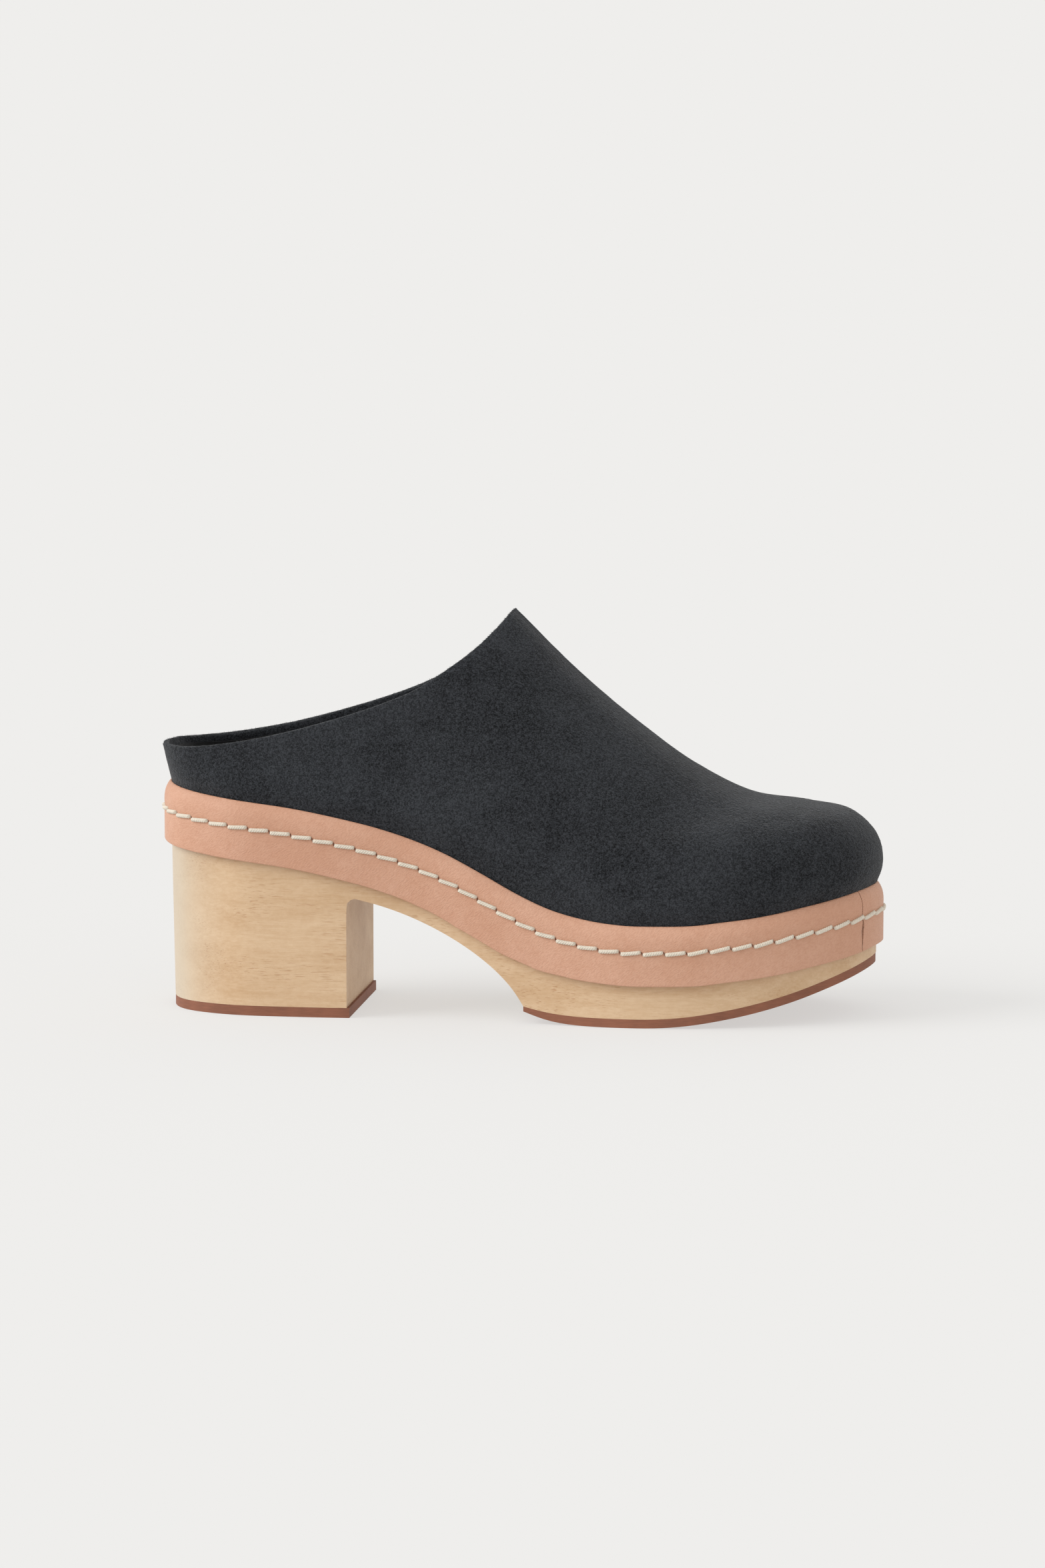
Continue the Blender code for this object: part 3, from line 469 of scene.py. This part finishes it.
class Seam:
    """The stitched line round the band: places and ways at any distance from the heel's back."""

    RING = 6  # corners of one ring of the solid thread
    THREAD_OUT = 0.00015  # how far the solid thread's middle lies outside the band's face

    def __init__(self):
        bm = merged("wrap_thread")
        corners = np.array([v.co for v in bm.verts])
        bm.free()
        order = np.argsort(np.arctan2(corners[:, 1], corners[:, 0]))
        rings = corners[order].reshape(-1, self.RING, 3).mean(axis=1)
        rings = np.roll(rings, -int(np.argmin(rings[:, 0])), axis=0)
        by_station = rings[np.argsort(rings[:, 0])]
        self.stations, self.heights = by_station[:, 0], by_station[:, 2]
        line = smooth_loop(rings, 20)
        line = np.vstack([line, line[:1]])
        steps = np.linalg.norm(np.diff(line, axis=0), axis=1)
        self.run = np.concatenate([[0], np.cumsum(steps)])
        self.total = self.run[-1]
        self.line = line
        ahead = np.roll(line[:-1], -1, axis=0) - np.roll(line[:-1], 1, axis=0)
        ahead = np.vstack([ahead, ahead[:1]])
        self.ahead = ahead / np.linalg.norm(ahead, axis=1)[:, None]
        self.toe = float(self.run[np.argmax(line[:, 0])])

    def read(self, table, distance):
        distance = np.mod(distance, self.total)
        return np.stack([np.interp(distance, self.run, table[:, i]) for i in range(3)], axis=-1)

    def ways(self, distance):
        """Ahead along the seam, out from the band and up across the seam."""
        ahead = self.read(self.ahead, distance)
        out = np.stack([ahead[..., 1], -ahead[..., 0], np.zeros_like(ahead[..., 0])], axis=-1)
        out /= np.linalg.norm(out, axis=-1)[..., None]
        return ahead, out, np.cross(out, ahead)

    def face(self, distance):
        """The place on the band's face under the thread."""
        return self.read(self.line, distance) - self.ways(distance)[1] * self.THREAD_OUT

    def slope(self, x):
        """How steeply the band climbs at a station."""
        step = 0.005
        climb = np.interp(x + step, self.stations, self.heights)
        climb = climb - np.interp(x - step, self.stations, self.heights)
        return climb / (2 * step)


def shaped_grid(bm, columns, rows, places):
    """A grid whose corners go to places, an array of columns by rows by 3."""
    made = bmesh.ops.create_grid(bm, x_segments=rows - 1, y_segments=columns - 1, size=1.0)["verts"]
    for vert, place in zip(made, places.reshape(-1, 3)):
        vert.co = place
    return made


def hairs(places, ways, long, thick):
    """Loose fibres: slim closed spikes that start just under these places."""
    bm = bmesh.new()
    for place, way, size in zip(places, ways, long):
        turned = Vector(way).to_track_quat("Z", "Y").to_matrix().to_4x4()
        bmesh.ops.create_cone(
            bm,
            cap_ends=True,
            segments=3,
            radius1=thick / 2,
            radius2=0,
            depth=size,
            matrix=Matrix.Translation(Vector(place) + Vector(way) * size * 0.4) @ turned,
        )
    bmesh.ops.remove_doubles(bm, verts=bm.verts, dist=1e-7)
    return bm


def quiver(value, seed):
    """A small steady unevenness from -1 to 1 for a number."""
    return noise.noise(Vector((value * 1.7, seed * 3.1, seed * 0.7)))


# ---------------------------------------------------------------- the pieces
class CLOG_OT_wood(bpy.types.Operator):
    """Carve the wooden sole and its block heel"""

    bl_idname = "clog.wood"
    bl_label = "Wooden Sole"

    def execute(self, context):
        rounded_solid("carved_sole", "wood_sole", wood_look(), 0.00006, 25)
        return {"FINISHED"}


class CLOG_OT_treads(bpy.types.Operator):
    """Cut the rubber outsole and the heel's top piece"""

    bl_idname = "clog.treads"
    bl_label = "Rubber Treads"

    GLUED = 0.00028  # the rubber's top meets the wood: it closes the solids' clearance

    def execute(self, context):
        rubber = rubber_look()
        treads = (("outsole_rubber", "forepart_outsole"), ("top_piece_rubber", "heel_top_piece"))
        for name, node in treads:
            rounded_solid(name, node, rubber, 0.00008, 40, self.GLUED)
        return {"FINISHED"}


class CLOG_OT_band(bpy.types.Operator):
    """Wrap the leather band round the sole, with its butt joint"""

    bl_idname = "clog.band"
    bl_label = "Leather Band"

    FACE_ROWS = 7
    SEAM_ROWS = (-1.9, -1.3, -0.85, -0.5, -0.2, 0.2, 0.5, 0.85, 1.3, 1.9)
    TOP_ROUND = 0.0004
    LEAN = 0.0021  # how far the pared top edge is drawn in to the suede
    LEAN_FROM = 0.0014  # above the seam
    EDGE_ROUND = 0.0004
    COLUMN = 0.00050
    INNER_ROWS = 4  # rows behind the face, which nothing shows
    GAPE_DOWN = 0.0085  # how far under the seam the joint gapes
    GAPE_ALONG = 0.004  # how far from the joint the leather follows its gape

    def section(self, top, bottom):
        """(out, up) places round the leather from its inner bottom edge, against the seam."""
        thick = sizes().band_thickness
        seam = [v / 1000 for v in self.SEAM_ROWS]
        lower = np.linspace(bottom + self.EDGE_ROUND, seam[0], self.FACE_ROWS, endpoint=False)
        upper = np.linspace(top - self.TOP_ROUND, seam[-1], self.FACE_ROWS, endpoint=False)[::-1]
        turn = np.radians([22, 45, 68])
        rows = [(-thick, bottom + self.EDGE_ROUND), (-thick + self.EDGE_ROUND / 2, bottom)]
        rows += [
            (-self.EDGE_ROUND * (1 - math.sin(a)), bottom + self.EDGE_ROUND * (1 - math.cos(a)))
            for a in (0.0, *turn)
        ]
        rows += [(0.0, up) for up in (*lower, *seam, *upper)]
        rows += [
            (-self.TOP_ROUND * (1 - math.cos(a)), top - self.TOP_ROUND * (1 - math.sin(a)))
            for a in (*turn, math.pi / 2)
        ]
        span = top - self.LEAN_FROM
        rows = [
            (out - self.LEAN * (max(0.0, up - self.LEAN_FROM) / span) ** 3, up) for out, up in rows
        ]
        rows += [(-thick - 0.0002, top), (-thick - 0.0004, top - 0.0003), (-thick, top - 0.0018)]
        rows += [(-thick, (top + bottom) / 2)]
        return np.array(rows)

    def execute(self, context):
        seam = Seam()
        pitch = seam.total / sizes().stitches
        joint = seam.toe - sizes().butt_from_toe
        columns = int(seam.total / self.COLUMN)
        distances = joint + np.linspace(0, seam.total, columns)
        faces = seam.face(distances)
        ahead, out, _ = seam.ways(distances)
        grid, stitch_at, rise_at = [], [], []
        for k, distance in enumerate(distances):
            tall = sizes().band_height * math.sqrt(1 + float(seam.slope(faces[k, 0])) ** 2)
            top = sizes().seam_drop
            rows = self.section(top, top - tall)
            steep = ahead[k, 2]
            along = (distance - sizes().first_stitch + rows[:, 1] * steep) / pitch
            rise = rows[:, 1] * math.sqrt(1 - steep**2)
            part = (along + 0.5) % 1 - 0.5
            slant = np.abs(part * 7.5 + rise * 500)
            hole = np.exp(-((slant / 0.42) ** 2) - (rise / 0.00075) ** 2)
            sink = np.exp(-((rise / 0.0011) ** 2))
            pull = sizes().seam_sink * sink + sizes().hole_depth * hole
            belly = 0.00010 * noise.noise(Vector((distance * 22, 0, 3)))
            shown = (np.arange(len(rows)) < len(rows) - self.INNER_ROWS).astype(float)
            outward = rows[:, 0] + shown * (belly - pull)
            edge = 0.00014 * noise.noise(Vector((distance * 55, 5, 1)))
            end = min(k, columns - 1 - k) / columns * seam.total
            nearness = max(0.0, 1 - end / self.GAPE_ALONG)
            lens = np.clip(-rise / self.GAPE_DOWN, 0, 1)
            gape = sizes().butt_gap * (0.34 + np.sin(math.pi * lens) ** 1.2) / 2 * nearness
            wander = [
                0.0005 * nearness * noise.noise(Vector((up * 260, 9, 2))) for up in rows[:, 1]
            ]
            shift = gape * (1 if k < columns / 2 else -1) + np.array(wander)
            lift = np.where(rows[:, 1] < -0.004, edge, 0.4 * edge)
            places = faces[k] + np.outer(outward, out[k]) + np.outer(shift, ahead[k])
            places[:, 2] += rows[:, 1] + lift
            grid.append(places)
            stitch_at.append(along)
            rise_at.append(rise * 1000)
        grid = np.array(grid)
        grid = np.concatenate([grid, grid[:, :1]], axis=1)
        bm = bmesh.new()
        stitch_layer = bm.verts.layers.float.new("stitch")
        rise_layer = bm.verts.layers.float.new("rise")
        verts = shaped_grid(bm, grid.shape[0], grid.shape[1], grid)
        stitch_at = np.column_stack([stitch_at, np.array(stitch_at)[:, :1]]).ravel()
        rise_at = np.column_stack([rise_at, np.array(rise_at)[:, :1]]).ravel()
        for vert, along, rise in zip(verts, stitch_at, rise_at):
            vert[stitch_layer] = along
            vert[rise_layer] = rise
        bmesh.ops.remove_doubles(bm, verts=bm.verts, dist=1e-6)
        bmesh.ops.holes_fill(bm, edges=bm.edges, sides=0)
        bmesh.ops.recalc_face_normals(bm, faces=bm.faces)
        obj = add_piece("stitched_band", bm, band_look(), ["sole_wrap"])
        obj.data.set_sharp_from_angle(angle=math.radians(50))
        return {"FINISHED"}


class CLOG_OT_stitches(bpy.types.Operator):
    """Sew the band with twisted thread"""

    bl_idname = "clog.stitches"
    bl_label = "Stitches"

    SECTIONS = 44
    CORNERS = 15

    def stitch(self, bm, seam, start, span, slant, turns, phase):
        """One stitch of three-ply thread that dives into its holes at both ends."""
        radius = sizes().thread / 2
        w = np.linspace(0, 1, self.SECTIONS)
        end = np.abs(2 * w - 1)
        distance = start + w * span
        ahead, out, up = seam.ways(distance)
        middle = seam.face(distance)
        middle = middle + out * (radius * (0.12 - 1.5 * end**9))[:, None]
        middle = middle + up * (slant * (w - 0.5))[:, None]
        size = radius * (1 - 0.30 * end**10)
        angles = np.linspace(0, 2 * math.pi, self.CORNERS + 1)
        twist = 2 * math.pi * turns * w[:, None] + phase
        lobes = 0.62 + 0.38 * np.abs(np.cos(1.5 * (angles[None] - twist))) ** 0.7
        reach = size[:, None] * lobes
        reach[0] = reach[-1] = 0
        outward, upward = np.cos(angles)[None, :, None], np.sin(angles)[None, :, None]
        grid = middle[:, None] + reach[..., None] * (outward * out[:, None] + upward * up[:, None])
        shaped_grid(bm, self.SECTIONS, self.CORNERS + 1, grid)

    def execute(self, context):
        seam = Seam()
        count = sizes().stitches
        pitch = seam.total / count
        bm = bmesh.new()
        for i in range(count):
            span = pitch * (0.955 + 0.02 * quiver(i, 1))
            start = sizes().first_stitch + i * pitch + (pitch - span) / 2
            slant = sizes().stitch_slant * (1 + 0.3 * quiver(i, 2))
            turns = sizes().thread_turns * (1 + 0.06 * quiver(i, 3))
            self.stitch(bm, seam, start, span, slant, turns, 6 * quiver(i, 4))
        bmesh.ops.remove_doubles(bm, verts=bm.verts, dist=1e-6)
        bmesh.ops.recalc_face_normals(bm, faces=bm.faces)
        add_piece("band_stitches", bm, thread_look(), ["wrap_thread"])
        return {"FINISHED"}


class CLOG_OT_suede(bpy.types.Operator):
    """Stretch the suede over the last and turn its edge in at the opening"""

    bl_idname = "clog.suede"
    bl_label = "Suede Upper"

    TURN = 33  # the outer face ends where the solid turns by more than this, in degrees
    COLUMN_STEPS = 10

    def outer_face(self, bm):
        """The faces of the outer face, found by walking over every edge that isn't a corner."""
        first = min(bm.faces, key=lambda face: face.calc_center_median().y)
        found, fresh = {first}, [first]
        while fresh:
            for edge in fresh.pop().edges:
                if edge.calc_face_angle() < math.radians(self.TURN):
                    ahead = [face for face in edge.link_faces if face not in found]
                    found.update(ahead)
                    fresh += ahead
        return found

    def rings(self):
        """The suede solid's corners, ring by ring: up the outer face, over the edge and inside."""
        bm = bmesh.new()
        bm.from_mesh(frame["nodes"]["suede_upper"].data)
        bmesh.ops.remove_doubles(bm, verts=bm.verts, dist=2e-6)
        outer = self.outer_face(bm)
        skin = {vert for face in outer for vert in face.verts}
        edge_of_skin = {e for e in bm.edges if sum(f in outer for f in e.link_faces) == 1}
        top = max((v for e in edge_of_skin for v in e.verts), key=lambda v: v.co.z)
        rim, fresh = {top}, [top]
        while fresh:
            vert = fresh.pop()
            beside = (e.other_vert(vert) for e in vert.link_edges if e in edge_of_skin)
            ahead = [vert for vert in beside if vert not in rim]
            rim.update(ahead)
            fresh += ahead
        down = self.peel(rim, set(bm.verts) - skin, [])
        over = self.peel(rim, skin - rim, [])
        bm.free()
        return np.array(down[:0:-1] + over), len(down)

    def peel(self, ring, barred, rings):
        """Rings of corners, each beside the one before, away from the barred corners."""
        done = set(barred)
        while ring:
            done |= ring
            rings.append(self.in_order(ring, rings))
            ring = {e.other_vert(vert) for vert in ring for e in vert.link_edges} - done
        return rings

    def in_order(self, ring, rings):
        """One ring's corners in order round the shoe, turned to match the ring before."""
        line = [max(ring, key=lambda vert: vert.co.z)]
        seen = set(line)
        while len(line) < len(ring):
            beside = (e.other_vert(line[-1]) for e in line[-1].link_edges)
            line.append(next(vert for vert in beside if vert in ring and vert not in seen))
            seen.add(line[-1])
        places = np.array([vert.co for vert in line])
        if not rings:
            area = np.cross(places[:, :2], np.roll(places[:, :2], -1, axis=0)).sum()
            return places if area > 0 else places[::-1]
        both = (places, places[::-1])
        turned = [np.roll(way, k, axis=0) for way in both for k in range(len(line))]
        return min(turned, key=lambda way: ((way - rings[-1]) ** 2).sum())

    def execute(self, context):
        rings, skin = self.rings()
        rings = np.array([smooth_loop(ring, self.COLUMN_STEPS) for ring in rings])
        ahead = np.roll(rings, -1, axis=0) - rings
        apart = np.linalg.norm(ahead, axis=2)[..., None]
        slopes = ahead / apart
        before, apart_before = np.roll(slopes, 1, axis=0), np.roll(apart, 1, axis=0)
        ways = (before * apart + slopes * apart_before) / (apart + apart_before)
        ways[skin - 2] = slopes[skin - 3]  # the skin runs straight up to where its edge turns over
        corners = (0, skin + 1, skin + 2)
        steps = [9] * (skin - 2) + [2, 4, 2, 4]
        steps += [1] * (len(rings) - len(steps))
        rows = []
        for k, count in enumerate(steps):
            after = (k + 1) % len(rings)
            leave = slopes[k] if k in corners else ways[k]
            reach = slopes[k] if after in corners else ways[after]
            for t in np.arange(count) / count:
                rows.append(
                    rings[k] * (1 + 2 * t) * (1 - t) ** 2
                    + rings[after] * (3 - 2 * t) * t**2
                    + leave * apart[k] * t * (1 - t) ** 2
                    - reach * apart[k] * (1 - t) * t**2
                )
        rows = np.array(rows)
        round_way = np.roll(rows, -1, axis=1) - np.roll(rows, 1, axis=1)
        up_way = np.roll(rows, -1, axis=0) - np.roll(rows, 1, axis=0)
        out = np.cross(round_way, up_way)
        out /= np.linalg.norm(out, axis=2)[..., None] + 1e-12
        nap = np.zeros(len(rows))
        nap[: sum(steps[: skin + 2])] = 1
        nap[:12] = 0
        apart_from_fine = Vector((7, 3, 1))
        fluff = [
            0.62 * noise.noise(Vector(p) * 1500)
            + 0.5 * noise.noise(Vector(p) * 620 + apart_from_fine)
            for p in rows.reshape(-1, 3)
        ]
        fluff = np.array(fluff).reshape(rows.shape[:2]) * nap[:, None] * sizes().nap
        rows += out * fluff[..., None]
        look = suede_look()
        self.raise_nap(rows, out, sum(steps[: skin - 2]), sum(steps[: skin + 2]), look)
        rows = np.concatenate([rows, rows[:1]])
        rows = np.concatenate([rows, rows[:, :1]], axis=1)
        bm = bmesh.new()
        shaped_grid(bm, rows.shape[0], rows.shape[1], rows)
        bmesh.ops.remove_doubles(bm, verts=bm.verts, dist=1e-6)
        bmesh.ops.recalc_face_normals(bm, faces=bm.faces)
        add_piece("suede_skin", bm, look, ["suede_upper"])
        return {"FINISHED"}

    def raise_nap(self, rows, out, low, high, look):
        """Loose fibres over the turned edge, leaning every way, where they stand out."""
        chance = np.random.default_rng(7)
        count = sizes().fibres
        row = (low + (high - low) * chance.random(count) ** 0.7).astype(int)
        column = chance.integers(0, rows.shape[1], count)
        ways = out[row, column] * 0.9 + chance.normal(0, 0.55, (count, 3))
        ways /= np.linalg.norm(ways, axis=1)[:, None]
        long = sizes().fibre * (0.4 + 0.9 * chance.random(count) ** 2)
        bm = hairs(rows[row, column], ways, long, 0.00010)
        add_piece("suede_fibres", bm, look, ())


class CLOG_OT_linings(bpy.types.Operator):
    """Line the upper"""

    bl_idname = "clog.linings"
    bl_label = "Linings"

    def execute(self, context):
        look = lining_look()
        for name, node in (("front_lining", "vamp_lining"), ("back_lining", "heel_lining")):
            creased(add_piece(name, merged(node, 20), look, [node]), 40)
        return {"FINISHED"}


class CLOG_OT_footbed(bpy.types.Operator):
    """Lay the footbed: cork, board, foam and sock"""

    bl_idname = "clog.footbed"
    bl_label = "Footbed"

    def execute(self, context):
        rounded_solid("sock_leather", "sock_lining", lining_look(), 0.0002, 40)
        finishes = {
            "bottom_filler": fibre_look("cork", (0.20, 0.11, 0.05), (0.42, 0.27, 0.15), 420),
            "insole_board": fibre_look("board", (0.28, 0.20, 0.12), (0.42, 0.33, 0.22), 900),
            "foam_pad": fibre_look("foam", (0.45, 0.45, 0.42), (0.62, 0.62, 0.58), 1500),
            "toe_puff": fibre_look("stiffener", (0.38, 0.33, 0.25), (0.52, 0.47, 0.38), 1100),
        }
        finishes["heel_counter"] = finishes["toe_puff"]
        for node, look in finishes.items():
            materials = frame["nodes"][node].data.materials
            materials.clear()
            materials.append(look)
        return {"FINISHED"}


class CLOG_OT_nails(bpy.types.Operator):
    """Turn the nails and tacks"""

    bl_idname = "clog.nails"
    bl_label = "Nails"

    def execute(self, context):
        steel = steel_look()
        for node in NAILS:
            low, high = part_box(node)
            middle = (low + high) / 2
            bm = merged(node)
            radii = {round((v.co - middle).xy.length, 5) for v in bm.verts}
            bm.free()
            head = (high.x - low.x) / 2
            shank = min(r for r in radii if r > 0.0003)
            tall = high.z - low.z
            sign, top = (1, high.z) if node.startswith("seat") else (-1, low.z)
            cap = 0.22 * head
            profile = [
                (0.0, 0.0),
                (0.72 * head, 0.02 * head),
                (0.94 * head, 0.12 * head),
                (head, 0.30 * head),
                (0.97 * head, cap + 0.25 * head),
                (shank * 1.15, cap + 0.42 * head),
                (shank, cap + 0.65 * head),
                (shank, tall - 2.6 * shank),
                (0.45 * shank, tall - 0.9 * shank),
                (0.0, tall),
            ]
            bm = bmesh.new()
            verts = [bm.verts.new((middle.x + r, middle.y, top - sign * z)) for r, z in profile]
            edges = [bm.edges.new(pair) for pair in zip(verts, verts[1:])]
            bmesh.ops.spin(
                bm,
                geom=verts + edges,
                cent=(middle.x, middle.y, 0),
                axis=(0, 0, 1),
                angle=2 * math.pi,
                steps=28,
                use_merge=True,
            )
            bmesh.ops.remove_doubles(bm, verts=bm.verts, dist=1e-6)
            bmesh.ops.recalc_face_normals(bm, faces=bm.faces)
            obj = add_piece(node + "_turned", bm, steel, [node])
            obj.data.set_sharp_from_angle(angle=math.radians(40))
        return {"FINISHED"}


class CLOG_OT_stage(bpy.types.Operator):
    """Set up the floor, the soft light and the camera"""

    bl_idname = "clog.stage"
    bl_label = "Studio"

    TARGET = Vector((0.0003, -0.0018, 0.0772))
    DISTANCE = 1.493
    AZIMUTH = 6.7
    ELEVATION = 6.45
    SUN = 1.8
    SUN_WAY = Vector((0.84, 0.34, -0.58))
    FLOOR_GLOW = 0.66  # the share of its light that the floor gives off itself

    def execute(self, context):
        scene = context.scene
        turn, lift = math.radians(self.AZIMUTH), math.radians(self.ELEVATION)
        level = math.cos(lift)
        back = Vector((math.sin(turn) * level, -math.cos(turn) * level, math.sin(lift)))
        view = bpy.data.cameras.new("camera")
        view.lens = 100
        view.sensor_width = 36
        camera = bpy.data.objects.new("camera", view)
        camera.location = self.TARGET + back * self.DISTANCE
        camera.rotation_mode = "QUATERNION"
        camera.rotation_quaternion = (-back).to_track_quat("-Z", "Y")
        scene.collection.objects.link(camera)
        scene.camera = camera

        bm = bmesh.new()
        bmesh.ops.create_grid(bm, x_segments=1, y_segments=1, size=40)
        mesh = bpy.data.meshes.new("floor")
        bm.to_mesh(mesh)
        bm.free()
        look = Look("studio_floor", {"Roughness": 0.9, "Specular IOR Level": 0.0})
        shine = self.SUN * self.SUN_WAY.normalized().z / -math.pi
        paint = [(1 - self.FLOOR_GLOW) * c / (c + shine) for c in colours().studio]
        look.shader.inputs["Base Color"].default_value = (*paint, 1)
        look.shader.inputs["Emission Color"].default_value = (*colours().studio, 1)
        look.shader.inputs["Emission Strength"].default_value = self.FLOOR_GLOW
        mesh.materials.append(look.material)
        floor = bpy.data.objects.new("floor", mesh)
        scene.collection.objects.link(floor)

        world = bpy.data.worlds.new("studio")
        world.use_nodes = True
        world.node_tree.nodes["Background"].inputs["Color"].default_value = (*colours().studio, 1)
        scene.world = world

        lamp = bpy.data.lights.new("window", "SUN")
        lamp.energy = self.SUN
        lamp.angle = math.radians(38)
        sun = bpy.data.objects.new("window", lamp)
        sun.rotation_mode = "QUATERNION"
        sun.rotation_quaternion = self.SUN_WAY.to_track_quat("-Z", "Y")
        scene.collection.objects.link(sun)
        scene.view_settings.view_transform = "Standard"
        return {"FINISHED"}


class CLOG_PT_pieces(bpy.types.Panel):
    """Lists the sizes, the colours and the operators"""

    bl_label = "Wooden Clog"
    bl_space_type = "VIEW_3D"
    bl_region_type = "UI"
    bl_category = "Clog"

    def draw(self, context):
        for group in (context.scene.clog_sizes, context.scene.clog_colours):
            box = self.layout.box()
            for name in group.bl_rna.properties.keys():
                if name not in ("name", "rna_type"):
                    box.prop(group, name)
        for operator in OPERATORS:
            self.layout.operator(operator.bl_idname)


OPERATORS = (
    CLOG_OT_stage,
    CLOG_OT_wood,
    CLOG_OT_treads,
    CLOG_OT_band,
    CLOG_OT_stitches,
    CLOG_OT_suede,
    CLOG_OT_linings,
    CLOG_OT_footbed,
    CLOG_OT_nails,
)
CLASSES = (ClogSizes, ClogColours, *OPERATORS, CLOG_PT_pieces)


def register():
    for item in CLASSES:
        bpy.utils.register_class(item)
    bpy.types.Scene.clog_sizes = bpy.props.PointerProperty(type=ClogSizes)
    bpy.types.Scene.clog_colours = bpy.props.PointerProperty(type=ClogColours)


def unregister():
    del bpy.types.Scene.clog_colours
    del bpy.types.Scene.clog_sizes
    for item in reversed(CLASSES):
        bpy.utils.unregister_class(item)


def main():
    register()
    for operator in OPERATORS:
        group, name = operator.bl_idname.split(".")
        getattr(getattr(bpy.ops, group), name)()


if __name__ == "__main__":
    main()
